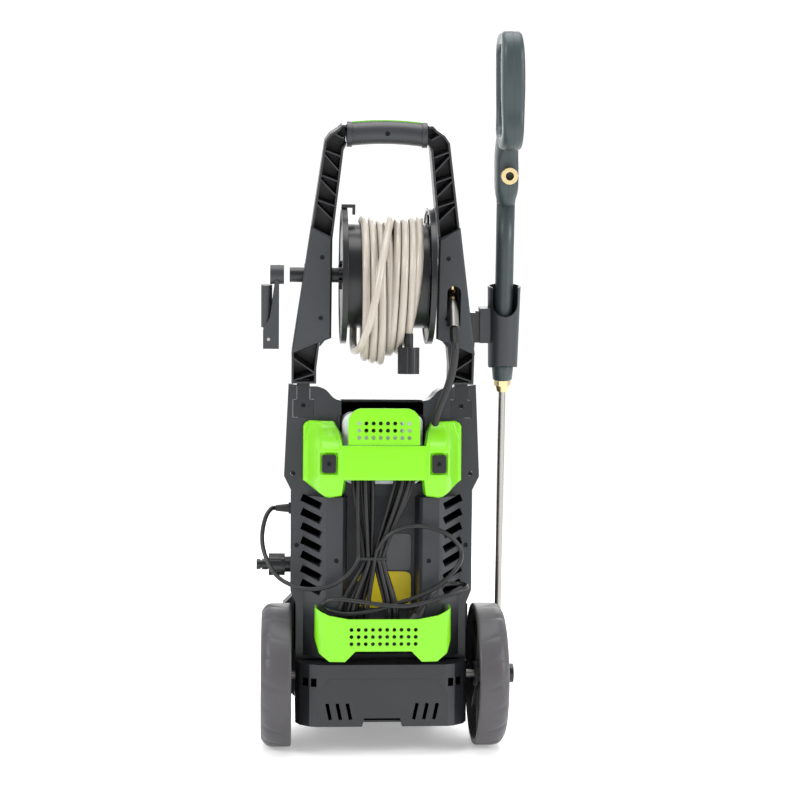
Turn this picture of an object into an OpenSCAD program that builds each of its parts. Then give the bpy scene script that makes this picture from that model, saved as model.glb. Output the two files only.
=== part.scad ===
// Upright electric pressure washer on two wheels, with a hose reel between the arms of its
// handle and a spray gun in a holster. Millimetres, +Z up. The side that the user stands at,
// with the cord storage, faces -Y. Everything is drawn about the middle of the machine, with
// Y zero over the axle, and moved at the end so that the origin is under the middle of the
// bounding box, on the floor.

/* [Wheels] */
// Wheel diameter
wheel_d = 210; // [180:1:250]
// Wheel width
wheel_w = 44; // [36:1:54]
// Inner face of each wheel, from the middle of the machine
wheel_in = 135; // [133:1:150]
// Axle diameter
axle_d = 12; // [8:0.5:16]
// How far the axle and its wheels sit to the right of the middle
axle_shift = 4; // [0:0.5:6]

/* [Body] */
// Width over the lower rails
body_w = 266; // [240:1:268]
// Height of the shoulders that carry the handle
shoulder_z = 537; // [520:1:600]
// Front face of the body, ahead of the axle
front_y = 168; // [150:1:200]
// Wall of the mouldings
wall = 3; // [2:0.1:4]
// Number of vent slots on each side
vents = 7; // [3:1:7]

/* [Handle] */
// Height of the top of the grip, measured along the handle
handle_top = 914; // [880:1:980]
// How far the handle leans towards the user, in degrees
lean = 12; // [6:0.5:14]
// Depth of the handle's channel section
arm_deep = 42; // [34:1:50]
// Diameter of the grip
grip_d = 30; // [26:0.5:34]

/* [Reel] */
// Diameter of the reel's flanges
flange_d = 198; // [180:1:204]
// Diameter of the drum
drum_d = 152; // [120:1:156]
// Outer diameter of the high-pressure hose
hose_d = 11; // [9:0.5:12]
// Distance between the middles of the flanges
reel_w = 124; // [116:1:126]
// Diameter of the reel's shaft
shaft_d = 22; // [18:0.5:26]
// Height of the reel's shaft, measured along the handle
reel_z = 694; // [680:1:710]

/* [Gun and lance] */
// Diameter of the gun's barrel cover
barrel_d = 27; // [24:0.5:29]
// Width of the gun's grip
gun_w = 28; // [27:0.5:32]
// Diameter of the lance
lance_d = 10.5; // [9:0.5:12]
// Length of the lance below its nut
lance_len = 425; // [380:5:440]
// How far the gun leans outwards at the foot, in degrees
splay = 1; // [0.7:0.1:1.2]

/* [Cord] */
// Diameter of the power cord
cord_d = 6.5; // [6:0.25:7.5]

/* [Hidden] */
$fn = 48;
eps = 0.01;
gap = 0.3;                 // clearance between pieces of one housing
slack = 0.6;               // clearance of what turns or slides
wheel_r = wheel_d / 2;
wheel_x = wheel_in + wheel_w / 2;
axle_r = axle_d / 2;
rail_x = body_w / 2;       // outer side of the rails
base_x = rail_x - 8;       // outer side of the base, beside the wheels
rail_in = rail_x - 15;     // inner side of the rails
rail_y = -30;              // rear face of the rails
part_y = 35;               // where rear and front shells meet
flare_z = 392;             // where the rails step out
flare = 10;                // how far they step out
shoulder_in = 60;          // half the opening between the shoulders
body_z = 44;               // underside of the body
base_y = -80;              // rear face of the base
base_top = wheel_r + 29;   // ledge above the base
arm_c = rail_x - 17.5;     // middle of the handle's tongue in the shoulder
window_top = shoulder_z - 50;
column_y = -62;            // rear face of the two pillars beside the cord recess
recess_y = -15;            // floor of the cord recess
recess_x = 50;             // half its width
bay_z = shoulder_z - 145;  // floor of the tank bay
bay_x = 62;                // half the tank bay's width
pillar_top = bay_z - 18;   // top of the pillars, under the yoke's legs
bay_y = 22;                // front wall of the tank bay
bay_back = rail_y - 4;     // rear edge of its sides
yoke_y = -85;              // rear face of the yoke
yoke_z = bay_z + 8;        // underside of the yoke's beam
beam_h = 50;
pad_x = 79;                // screw pads of the yoke
pad_z = yoke_z + 24;
screw_r = 3.4;

// Points mirrored to the other side, so that an outline is given once
function both(p) = concat(p, [for (i = [len(p) - 1:-1:0]) [-p[i][0], p[i][1]]]);
// Points of an arc, from angle a to angle b
function arc(c, r, a, b, n = 8) = [for (i = [0:n]) [c[0] + r * cos(a + (b - a) * i / n),
    c[1] + r * sin(a + (b - a) * i / n)]];

// A flat outline in X and Z, as thick as from y0 to y1
module plate_xz(points, y0, y1) {
  translate([0, y1, 0]) rotate([90, 0, 0]) linear_extrude(y1 - y0) polygon(points);
}
// A flat outline in X and Y, from z0 to z1
module plate_xy(points, z0, z1) {
  translate([0, 0, z0]) linear_extrude(z1 - z0) polygon(points);
}
// A flat outline in Y and Z, from x0 to x1
module plate_yz(points, x0, x1) {
  translate([x0, 0, 0]) rotate([90, 0, 90]) linear_extrude(x1 - x0) polygon(points);
}
// A box given by its two corners
module block(a, b) { translate(a) cube(b - a); }
// A round bar along X, Y or Z, from one point on
module bar_x(at, r, l) { translate(at) rotate([0, 90, 0]) cylinder(r = r, h = l); }
module bar_y(at, r, l) { translate(at) rotate([-90, 0, 0]) cylinder(r = r, h = l); }
module bar_z(at, r, l) { translate(at) cylinder(r = r, h = l); }
// A flat rectangle with round corners, of circles and squares so that it stays exact
module round_rect(w, h, r) {
  square([w - 2 * r, h], center = true);
  square([w, h - 2 * r], center = true);
  for (x = [-1, 1], y = [-1, 1]) translate([x * (w / 2 - r), y * (h / 2 - r)]) circle(r);
}
module mirrored() {
  children();
  mirror([1, 0, 0]) children();
}
// Turns what is drawn upright about the foot of the handle, towards the user
lean_y = rail_y;
lean_z = shoulder_z - 17;
module leaning() {
  translate([0, lean_y, lean_z]) rotate([lean, 0, 0]) translate([0, -lean_y, -lean_z]) children();
}
function leaned(p) = let (y = p[1] - lean_y, z = p[2] - lean_z)
  [p[0], lean_y + y * cos(lean) - z * sin(lean), lean_z + y * sin(lean) + z * cos(lean)];

// ---- Cord and hose tubes: rings of points swept along a route ----
function unit(v) = v / norm(v);
function along(p, i) = unit(p[min(i + 1, len(p) - 1)] - p[max(i - 1, 0)]);
// Catmull-Rom curve through the points, n steps a span
function smooth(p, n) = [for (i = [0:len(p) - 2]) each [for (k = [0:(i == len(p) - 2 ? n : n - 1)])
  let (t = k / n, a = p[max(i - 1, 0)], b = p[i], c = p[i + 1], d = p[min(i + 2, len(p) - 1)])
  0.5 * ((2 * b) + (c - a) * t + (2 * a - 5 * b + 4 * c - d) * t * t + (3 * b - a - 3 * c + d) * t * t * t)]];
// Side vectors carried along the route without twisting
function carried(p, i = 0, s = [0.3, 1, 0.2]) = let (v = s - along(p, i) * (s * along(p, i)),
    u = unit(v))
  i == len(p) - 1 ? [u] : concat([u], carried(p, i + 1, u));
module tube(p, r, sides = 8) {
  s = carried(p);
  rings = [for (i = [0:len(p) - 1]) let (d = along(p, i), u = s[i], w = cross(d, u))
    each [for (k = [0:sides - 1]) p[i] + r * (cos(360 * k / sides) * u + sin(360 * k / sides) * w)]];
  walls = [for (i = [0:len(p) - 2], k = [0:sides - 1]) let (a = i * sides + k,
      b = i * sides + (k + 1) % sides)
    each [[a, a + sides, b], [b, a + sides, b + sides]]];
  ends = [[for (k = [0:sides - 1]) k], [for (k = [sides - 1:-1:0]) (len(p) - 1) * sides + k]];
  polyhedron(rings, concat(walls, ends));
}

// ================= Body shells =================
// The inner side of a shoulder is an S of two arcs, down to the level of the front shell's top
curve_1 = 26;
curve_2 = 22;
curve_turn = 55;
curve_c1 = [-shoulder_in - 38, shoulder_z - 4 - curve_1];
curve_c2 = curve_c1 + (curve_1 + curve_2) * [sin(curve_turn), cos(curve_turn)];
function shoulder_curve(w) = concat(arc(curve_c1, curve_1 - w, 90, 90 - curve_turn, 6),
  arc(curve_c2, curve_2 + w, 270 - curve_turn, 270, 6));
function rail_outline(w = 0) = both(concat([
  [-base_x + w, base_top + gap + w], [-base_x + w, 2 * wheel_r + 4], [-rail_x + w, 2 * wheel_r + 24],
  [-rail_x + w, flare_z - flare], [-rail_x - flare + w, flare_z + 10],
      [-rail_x - flare + 6 + w, shoulder_z - w],
  [-rail_x + 20, shoulder_z - 4 - w]], shoulder_curve(w)));
// Path of the wall between the rails, seen from above: vents slope back from the pillars to the rails
function column_path() = both([
  [-rail_in + wall, rail_y + 4], [-rail_in + 2, rail_y + 2], [-87, column_y + 3], [-82, column_y],
      [-58, column_y],
  [-54, column_y + 5], [-recess_x, recess_y]]);
function column_inside() = both([
  [-rail_in + 2 * wall, rail_y + 5 + wall], [-rail_in + 3 + wall, rail_y + 3 + wall],
      [-86, column_y + 3 + 1.4 * wall],
  [-81, column_y + wall], [-59, column_y + wall], [-54 - wall, column_y + 6 + wall],
      [-recess_x - wall, recess_y + wall]]);
module tongue(grow = 0) {
  for (s = [-1, 1]) {
    block([s * arm_c - 15 - grow, rail_y - eps, window_top + 1 - grow],
        [s * arm_c + 15 + grow, rail_y + 20 + grow, window_top + 27 + grow]);
    block([s * arm_c - 9.3 - grow, rail_y - eps, window_top + 27],
        [s * arm_c + 9.3 + grow, rail_y + 20 + grow, shoulder_z + eps]);
  }
}
module vent_slots() {
  pitch = 20.8;
  top = flare_z - 20;
  for (s = [-1, 1], i = [0:vents - 1])
    translate([s * (rail_in + 1), 0, top - i * pitch]) rotate([0, s * -22, 0])
        translate([s * -17, 0, 0])
      block([-15, column_y - 10, -5.5], [15, rail_y + 14, 5.5]);
}
module rear_housing() color([0.30, 0.31, 0.34]) {
  difference() {
    union() {
      difference() {
        plate_xz(rail_outline(), rail_y, part_y);
        plate_xz(rail_outline(wall), rail_y + wall, part_y + 1);
        plate_xy(both([[-54, column_y + 5], [-recess_x, recess_y]]), base_top + 2 * wall,
            pillar_top - 1);
      }
      // Inner walls of the rails, and the wall round the window
      difference() {
        block([-rail_in - wall, rail_y, base_top + wall], [rail_in + wall, part_y, window_top + wall]);
        block([-rail_in, rail_y - 1, base_top + 2 * wall], [rail_in, part_y + 1, window_top]);
      }
      // Pillars, vents and the floor of the cord recess
      plate_xy(concat(column_path(), [for (i = [len(column_inside()) - 1:-1:0]) column_inside()[i]]),
          base_top + 2 * wall - eps, pillar_top);
      // Sides and floor of the tank bay
      difference() {
        block([-bay_x - wall, bay_back, bay_z - wall], [bay_x + wall, bay_y + wall,
            window_top + wall + eps]);
        block([-bay_x, bay_back - 1, bay_z], [bay_x, bay_y, shoulder_z]);
      }
      // Roof of the recess
      block([-recess_x - wall, rail_y, pillar_top - 1], [recess_x + wall, recess_y + wall,
          pillar_top - 1 + wall]);
      // Walls beside the bay that the yoke closes
      for (s = [-1, 1]) block([s * (bay_x + 28) - 28, rail_y, pillar_top - wall],
          [s * (bay_x + 28) + 28, rail_y + wall, window_top]);
    }
    // Window between the rails, open to the cord recess
    block([-shoulder_in, rail_y - 1, window_top - eps], [shoulder_in, bay_y, shoulder_z + 1]);
    block([-bay_x, bay_back - 1, bay_z], [bay_x, bay_y, window_top + wall + 1]);
    tongue(gap);
    vent_slots();
    for (s = [-1, 1]) {
      bar_y([s * (rail_x - 3), rail_y - 1, flare_z + 14], screw_r, 20);
      bar_y([s * (rail_x - 9), rail_y - 1, flare_z - 91], screw_r, 20);
      bar_y([s * 67, column_y - 1, flare_z - 110], screw_r, 20);
    }
    // Holes for the gland, the water inlet and the hose from the pump
    bar_x([-rail_x - 1, gland_y, gland_z], 6 + gap, 12);
    bar_x([-rail_x - 1, inlet_y, inlet_z], 12 + gap, 18);
    bar_y([hose_hole[0], rail_y - 1, hose_hole[2]], 10, wall + 2);
  }
}
function front_top() = shoulder_z - 26;
module front_form(inset) {
  hull() {
    plate_xz(both([[-rail_x + 3 + inset, base_top + inset], [-rail_x + 3 + inset, flare_z - inset],
        [-rail_x + 12 + inset, front_top() - inset],
      [-70, front_top() - inset]]), part_y + gap - 2 * inset, part_y + gap + 8);
    plate_xz(both([[-96 + inset, base_top + inset], [-104 + inset, 300],
        [-84 + inset, front_top() - 40 - inset], [-60, front_top() - 34 - inset]]),
      front_y - 30, front_y - 12 - inset);
    plate_xz(both([[-90 + inset, 230], [-90 + inset, 330], [-60, 345]]), front_y - 14 - inset,
        front_y - 4 - inset);
  }
}
// The foot: a box over the axle's height, and a nose with cheeks ahead of the wheels
cheek_y = wheel_r + 8;
module foot_form(inset) {
  plate_xz(both([[-base_x + inset, body_z + inset], [-base_x + inset, base_top - gap - inset]]), -20,
      cheek_y + 10 - inset);
  hull() {
    plate_xz(both([[-122 + inset, body_z + inset], [-142 + inset, body_z + 20 + inset],
        [-144 + inset, 190], [-120, 214 - inset]]),
      cheek_y + inset, cheek_y + 42);
    plate_xz(both([[-100 + inset, body_z + 6 + inset], [-116 + inset, 80], [-112 + inset, 170],
        [-90, 196 - inset]]), cheek_y + 44, front_y + 14 - inset);
  }
}
module front_housing() color([0.30, 0.31, 0.34]) {
  difference() {
    front_form(0);
    front_form(wall);
    // The knob's shaft, the tank bay behind and the holder's foot
    bar_y([0, front_y - 40, 292], 7, 60);
    block([-rail_x, -60, 0], [rail_x, part_y + gap, 600]);
    block([-96, part_y - 1, base_top - 8], [96, front_y - 34, base_top + wall + eps]);
  }
}
function base_plan(w) = both([[-base_x + w, -18], [-base_x + w, base_y + 34],
    [-base_x + 6 + w / 2, base_y + 18 + w / 2],
  [-base_x + 20, base_y + 5 + w], [-base_x + 34, base_y + w]]);
module base_housing() color([0.30, 0.31, 0.34]) {
  difference() {
    union() {
      plate_xy(base_plan(0), body_z, base_top);
      foot_form(0);
    }
    // Hollow inside, open at the top under the upper shells
    plate_xy(base_plan(wall), body_z + wall, base_top - wall);
    foot_form(wall);
    block([-base_x + wall, -22, body_z + wall], [base_x - wall, -16, base_top - wall]);
    block([-base_x + 10, -40, base_top - 10], [base_x - 10, cheek_y + 4, base_top + 1]);
    block([-96, cheek_y + 3, base_top - 10], [96, front_y - 34, base_top + 1]);
    front_form(-gap);
    // Embossed panel, cooling slots, square holes and the hand notch under the rear edge
    plate_xz(both([[-94, body_z - 1], [-94, body_z + 50], [-76, body_z + 70]]), base_y - 1,
        base_y + 1.4);
    for (s = [-1, 1]) {
      for (i = [0:2]) translate([s * (48 + 14.6 * i), 0, body_z + 22]) rotate([0, s * 12, 0])
          block([-2.5, base_y - 1, -12], [2.5, base_y + 8, 12]);
      for (i = [0:1]) block([s * (base_x - 14 - 12 * i) - 4, base_y, body_z + 58],
          [s * (base_x - 14 - 12 * i) + 4, base_y + 44, body_z + 70]);
    }
    plate_xz(both([[-29, body_z - 1], [-26, body_z + 12]]), base_y - 1, base_y + 30);
    bar_x([-rail_x - 20, 0, wheel_r], axle_r + gap, 2 * rail_x + 40);
  }
  // Bosses that carry the axle
  for (s = [-1, 1]) difference() {
    bar_x([s * (base_x - 12) - 12, 0, wheel_r], axle_r + 6, 24);
    bar_x([s * (base_x - 12) - 13, 0, wheel_r], axle_r + gap, 26);
  }
}
module front_cover() color([0.55, 0.85, 0.10]) {
  difference() {
    intersection() {
      hull() {
        translate([0, 4, 0]) plate_xz(both([[-88, 230], [-88, 330], [-58, 345]]), front_y - 14,
            front_y - 4);
        translate([0, 4, 0]) plate_xz(both([[-82, 240], [-80, front_top() - 40],
            [-56, front_top() - 34]]), front_y - 30, front_y - 12);
      }
      plate_xz(both([[-62, 222], [-74, 250], [-66, front_top() - 46], [-50, front_top() - 38]]),
          front_y - 60, front_y + 20);
    }
    front_form(-gap);
    bar_y([0, front_y - 40, 292], 7, 60);
  }
}
module front_foot() color([0.16, 0.16, 0.17]) {
  difference() {
    plate_yz([[wheel_r + 22, body_z + 8], [wheel_r + 22, 14], [wheel_r + 28, 5], [wheel_r + 64, 5],
        [wheel_r + 68, 14], [wheel_r + 60, body_z + 12]], -92, 92);
    plate_yz([[wheel_r + 21, body_z - 4], [wheel_r + 33, 26], [wheel_r + 56, 26],
        [wheel_r + 70, body_z - 4]], -60, 60);
    foot_form(-gap);
    for (s = [-1, 1]) bar_z([s * 76, wheel_r + 46, 4], 5, 8);
  }
}
module foot_pads() color([0.08, 0.08, 0.08])
  for (s = [-1, 1]) {
    bar_z([s * 76, wheel_r + 46, 0], 13, 5 - eps);
    bar_z([s * 76, wheel_r + 46, 5 - 2 * eps], 4.8, 6);
  }

// ================= Cord storage and detergent tank =================
function holes_grid(nx, nz, pitch) = [for (i = [0:nx - 1], k = [0:nz - 1]) [(i - (nx - 1) / 2) * pitch,
    -k * pitch]];
module cord_yoke() color([0.60, 0.90, 0.12]) {
  z0 = yoke_z;
  z1 = z0 + beam_h;
  side = rail_in - 2.4;
  difference() {
    union() {
      // Beam across the cord recess, a channel open to the front
      block([-60, yoke_y, z0], [60, yoke_y + wall, z1]);
      block([-60, yoke_y, z1 - wall], [60, yoke_y + 22, z1]);
      block([-60, yoke_y, z0], [60, yoke_y + 12, z0 + wall]);
      // Wings that slope back to the rails
      mirrored() hull() {
        plate_xz([[60, z0 - 22], [80, z0 - 22], [96, z0 - 12], [98, z0 + 20], [94, z1], [60, z1]],
            yoke_y, yoke_y + 2);
        plate_xz([[60, z0 - 24], [80, z0 - 25], [side, z0 - 3], [side, z1 + 28], [side - 8, z1 + 34],
            [70, z1 + 34], [64, z1 + 10], [60, z1]], rail_y - 8, rail_y - 6);
      }
    }
    mirrored() hull() {
      plate_xz([[59.9, z0 - 20], [79, z0 - 19], [93, z0 - 10], [95, z0 + 20], [91, z1 - wall],
          [59.9, z1 - wall]], yoke_y + wall, yoke_y + 6);
      plate_xz([[59.9, z0 - 22], [79, z0 - 22], [side - wall, z0 - 1], [side - wall, z1 + 26],
          [side - 10, z1 + 31], [72, z1 + 31], [66, z1 + 10], [59.9, z1 - wall]], rail_y - 8.5,
              rail_y - 3);
    }
    // Seats of the screw pads, with their screw holes
    for (s = [-1, 1]) {
      translate([s * pad_x, yoke_y + 1.6, pad_z]) rotate([90, 0, 0]) linear_extrude(10)
          round_rect(20 + 2 * gap, 26 + 2 * gap, 3);
      bar_y([s * pad_x, yoke_y - 1, pad_z], screw_r, 20);
    }
    // Way for the reel's feed hose behind the right wing
    bar_z([76, -52, z0 + 34], link_r + 2, 80);
    block([76 - link_r - 2, -52, z0 + 34], [76 + link_r + 2, rail_y, z0 + 120]);
    // The legs' inner edges
    block([-58, yoke_y - 1, z0 - 40], [58, rail_y, z0]);
  }
}
module tank_guard() color([0.66, 0.95, 0.25]) {
  z0 = yoke_z + beam_h + gap;
  h = 53;
  difference() {
    translate([0, yoke_y + 4 + wall, z0 + h / 2]) rotate([90, 0, 0]) linear_extrude(wall) {
      round_rect(103, h, 20);
      translate([0, -h / 4]) square([103, h / 2], center = true);
    }
    for (c = holes_grid(8, 3, 10.3)) bar_y([c[0], yoke_y - 5, z0 + 31.5 + c[1]], 2.9, 20);
  }
}
module yoke_pads() color([0.20, 0.21, 0.24])
  for (s = [-1, 1]) difference() {
    translate([s * pad_x, yoke_y + 1.6 - eps, pad_z]) rotate([90, 0, 0]) linear_extrude(2)
        round_rect(20, 26, 3);
    bar_y([s * pad_x, yoke_y - 2, pad_z], screw_r, 10);
  }
basket_y = -100;
basket_ends = 98;
function basket_plan(t) = both(concat([[-basket_ends + t, base_y + 26],
    [-basket_ends + t, base_y + 14]],
  arc([-basket_ends + t + 22, base_y + 2], 22, 180, 235, 6), [[-52, basket_y + t], [0, basket_y + t]]));
module cord_basket() color([0.60, 0.90, 0.12]) {
  z0 = base_top + 8;
  z1 = base_top + 86;
  difference() {
    plate_xy(basket_plan(0), z0, z1);
    plate_xy(concat([[-basket_ends + wall, base_y + 27]], [for (p = basket_plan(wall)) p],
        [[basket_ends - wall, base_y + 27]]), z0 - 1, z1 + 1);
    // The rim dips to the middle, and the foot is cut away between its two legs
    plate_xz(both([[-basket_ends - 1, z1 + 30], [-basket_ends - 1, z1 - 2], [-78, z1 - 12],
        [-50, z1 - 17]]), basket_y - 5, base_y + 40);
    plate_xz(both([[-40, z0 + 15], [-56, z0 - 1]]), basket_y - 5, base_y + 40);
    for (s = [-1, 1]) plate_xz([[s * 76, z0 - 1], [s * 92, z0 + 12], [s * 99, z0 + 34],
        [s * 110, z0 + 34], [s * 110, z0 - 1]], basket_y - 5, base_y + 40);
    for (c = holes_grid(10, 3, 10.2)) bar_y([c[0], basket_y - 5, z0 + 46 + c[1]], 2.8, 12);
  }
}
tank_z = bay_z + gap;
tank_h = 102;
module tank_form(inset) {
  intersection() {
    translate([0, (column_y + 14 + bay_y) / 2, tank_z + tank_h / 2]) rotate([90, 0, 0])
        linear_extrude(bay_y - column_y - 16 - 2 * inset, center = true)
      round_rect(2 * bay_x - 6 - 2 * inset, tank_h - 2 * inset, 16);
    translate([0, (column_y + 14 + bay_y) / 2, tank_z - 1]) linear_extrude(tank_h + 2)
        round_rect(2 * bay_x - 6 - 2 * inset, bay_y - column_y - 16 - 2 * inset, 12);
  }
}
tank_neck_y = (column_y + 14 + bay_y) / 2;
tank_notch = tank_z + tank_h - 30;
module tank() color([0.90, 0.91, 0.90]) {
  difference() {
    union() {
      difference() {
        tank_form(0);
        difference() {
          tank_form(2);
          block([-30, -200, tank_notch - 2], [30, 200, 900]);
        }
        block([-28, -200, tank_notch], [28, 200, 900]);
      }
      bar_z([0, tank_neck_y, tank_notch - eps], 16, 14);
    }
    bar_z([0, tank_neck_y, tank_notch - 10], 13.5, 40);
  }
}
module tank_cap() color([0.07, 0.07, 0.08]) {
  difference() {
    bar_z([0, tank_neck_y, tank_notch + 1], 21, 27);
    bar_z([0, tank_neck_y, tank_notch], 16 + gap, 15 + gap);
    for (a = [0:18:359]) translate([0, tank_neck_y, 0]) rotate(a) bar_z([22.2, 0, tank_notch], 1.8, 24);
  }
}

// ================= Handle =================
grip_z = handle_top - grip_d / 2;
arm_y = rail_y;                       // rear face of the arms
arm_front = rail_y + arm_deep;
shaft_y = arm_y + arm_deep / 2;       // the reel's shaft runs through the middle of the arms
function arm_out(z) = z < 580 ? 133 : 133 - (z - 580) * 0.1455;
function arm_in(z) = z < 560 ? 97 : 97 - (z - 560) * 0.108;
corner_z = handle_top - 27;
arm_z0 = shoulder_z + gap;
function arm_outline(w) = [[arm_in(arm_z0) + w, arm_z0 + w], [arm_out(arm_z0) - w, arm_z0 + w],
    [arm_out(580) - w, 580],
  [arm_out(corner_z) - w, corner_z], [arm_out(corner_z) - 7 - w, corner_z + 10 - w / 2],
      [arm_out(corner_z) - 19 - w / 2, corner_z + 18 - w],
  [64, handle_top - 3.5 - w], [58, handle_top - 3.5 - w], [58, grip_z - 16 + w],
      [arm_in(corner_z) + w, grip_z - 23 + w / 2], [arm_in(560) + w, 560]];
module rib(a, b, t = 2) {
  d = b - a;
  n = t / 2 / norm(d) * [-d[1], d[0]];
  plate_xz([a + n, b + n, b - n, a - n], arm_y + 1, arm_front - 1);
}
module arm_ribs() {
  bay = (corner_z - 12 - 770) / 3;
  for (i = [0:2]) {
    z = 770 + i * bay;
    rib([arm_out(z + bay) - 1, z + bay], [arm_in(z + bay - 9) + 1, z + bay - 9]);
    rib([arm_out(z + bay - 6) - 2, z + bay - 6], [arm_in(z + 6) + 2, z + 6]);
  }
  rib([arm_out(540) - 1, 576], [arm_in(540) + 1, 552]);
  rib([arm_out(540) - 1, 541], [arm_in(540) + 1, 552]);
  rib([62, grip_z - 8], [arm_out(corner_z) - 12, corner_z + 12]);
}
reel_half = reel_w / 2;
reel_x = 3;                           // middle of the reel, beside the machine's middle
module handle_frame() color([0.19, 0.20, 0.22]) leaning() {
  difference() {
    union() {
      mirrored() {
        difference() {
          plate_xz(arm_outline(0), arm_y, arm_front);
          plate_xz(arm_outline(wall), arm_y - 1, arm_front - wall);
        }
        intersection() {
          plate_xz(arm_outline(eps), arm_y, arm_front);
          arm_ribs();
        }
        // Inner wing of the arm beside the reel, under its cover
        plate_xz([[arm_in(745), 745], [77, 740], [77, 612], [arm_in(600) , 592]], arm_y, arm_y + 12);
        // Bearing of the reel's shaft
        bar_x([79, shaft_y, reel_z], shaft_d / 2 + 5, arm_out(reel_z) - 80);
      }
      // Front half of the grip
      grip_form(grip_d / 2 - 3, grip_d / 2, 1);
    }
    bar_x([-150, shaft_y, reel_z], shaft_d / 2 + slack / 2, 300);
    // The elbow that feeds the reel hangs through the right arm
    block([88, arm_y - 1, reel_z - 60], [112, arm_front - wall, reel_z - 4]);
    bar_y([0, shaft_y - 5, grip_z], screw_r, 60);
    mirrored() for (z = [636, 724]) bar_y([arm_cover_x(z), arm_y - 20, z], screw_r, 20 + wall + 14);
  }
  tongues();
}
// The grip is an arched bar: a ring of large radius, cut to the span between the corners
arch_r = 420;
module grip_form(r_in, r_out, side, span = 16) {
  translate([0, shaft_y, grip_z - arch_r]) rotate([90, 0, 0]) rotate([0, 0, 90 - span / 2])
    rotate_extrude(angle = span, $fn = 96) intersection() {
      difference() {
        translate([arch_r, 0]) circle(r_out);
        translate([arch_r, 0]) circle(r_in);
      }
      translate([arch_r, side > 0 ? -r_out - 1 : r_out + 1 + gap])
          square([2 * r_out + 2, 2 * (r_out + 1)], center = true);
    }
}
module tongues() {
  intersection() {
    translate([0, lean_y, lean_z]) rotate([-lean, 0, 0]) translate([0, -lean_y, -lean_z]) difference() {
      union() {
        tongue(0);
        for (s = [-1, 1]) block([s * arm_c - 9.3, rail_y + 4, shoulder_z - 1],
            [s * arm_c + 9.3, rail_y + 20, shoulder_z + 6]);
      }
      for (s = [-1, 1]) bar_y([s * arm_c, rail_y - 1, window_top + 18], screw_r, 30);
    }
    block([-200, -200, 0], [200, 200, 900]);
  }
}
module grip_cover() color([0.27, 0.28, 0.30]) leaning() difference() {
  union() {
    grip_form(grip_d / 2 - 3, grip_d / 2 + 1, -1, 15);
    // Collars at both ends
    mirrored() intersection() {
      difference() {
        bar_x([50, shaft_y, grip_z - 3], grip_d / 2 + 3, 7);
        bar_x([49, shaft_y, grip_z - 3], grip_d / 2 + 0.6, 9);
      }
      block([40, shaft_y - 40, 700], [80, shaft_y - gap, 1000]);
    }
  }
  bar_y([0, shaft_y - 40, grip_z], screw_r, 60);
}
module grip_trim() color([0.55, 0.85, 0.10]) leaning()
  intersection() {
    grip_form(grip_d / 2 + gap, grip_d / 2 + 2.6, 1);
    plate_yz([[shaft_y + 1, grip_z + 3], [shaft_y + 1, grip_z + 30], [shaft_y + 30, grip_z + 30],
        [shaft_y + 30, grip_z - 10]], -50, 50);
  }
function arm_cover_x(z) = z > 680 ? 90 : 91.5;
cover_y = arm_y - 6;
function cover_outline(w) = [[76 + w, 752 - w], [arm_out(768) + 1 - w, 768 - w],
    [arm_out(584) + 1 - w, 582 + w], [76 + w, 606 + w / 2]];
module arm_cover(side) {
  difference() {
    hull() {
      plate_xz(cover_outline(2.5), cover_y, cover_y + 2);
      plate_xz(cover_outline(0), arm_y - 3, arm_y - gap);
    }
    plate_xz(cover_outline(wall + 1), cover_y + wall, arm_y);
    for (z = [636, 724]) bar_y([arm_cover_x(z), cover_y - 1, z], screw_r, 20);
    // Slot that the feed hose comes out of, in the right cover
    if (side > 0) {
      block([90, cover_y - 1, reel_z - 68], [110, arm_y, reel_z - 20]);
      bar_y([100, cover_y - 1, reel_z - 20], 10, 10);
    }
  }
}
module arm_cover_left() color([0.30, 0.31, 0.33]) leaning() mirror([1, 0, 0]) arm_cover(-1);
module arm_cover_right() color([0.30, 0.31, 0.33]) leaning() arm_cover(1);

// ================= Fasteners =================
module screw(at, deep = 12) {
  translate(at) rotate([-90, 0, 0]) difference() {
    union() {
      cylinder(r = screw_r - 0.25, h = 2.4);
      cylinder(r = 1.8, h = deep);
    }
    cylinder(r = 1.4, h = 3.2, center = true, $fn = 6);
  }
}
module screws() color([0.05, 0.05, 0.06]) {
  for (s = [-1, 1]) {
    screw([s * (rail_x - 3), rail_y + 2, flare_z + 14]);
    screw([s * (rail_x - 9), rail_y + 2, flare_z - 91]);
    screw([s * 67, column_y + 2, flare_z - 110], 8);
    screw([s * arm_c, rail_y + 2, window_top + 18]);
    screw([s * pad_x, yoke_y + 0.4, pad_z]);
    leaning() {
      screw([s * arm_cover_x(724), cover_y + 1, 724]);
      if (s < 0) screw([s * arm_cover_x(636), cover_y + 1, 636]);
    }
  }
  leaning() screw([0, shaft_y - grip_d / 2 + 1, grip_z], 10);
}

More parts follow.
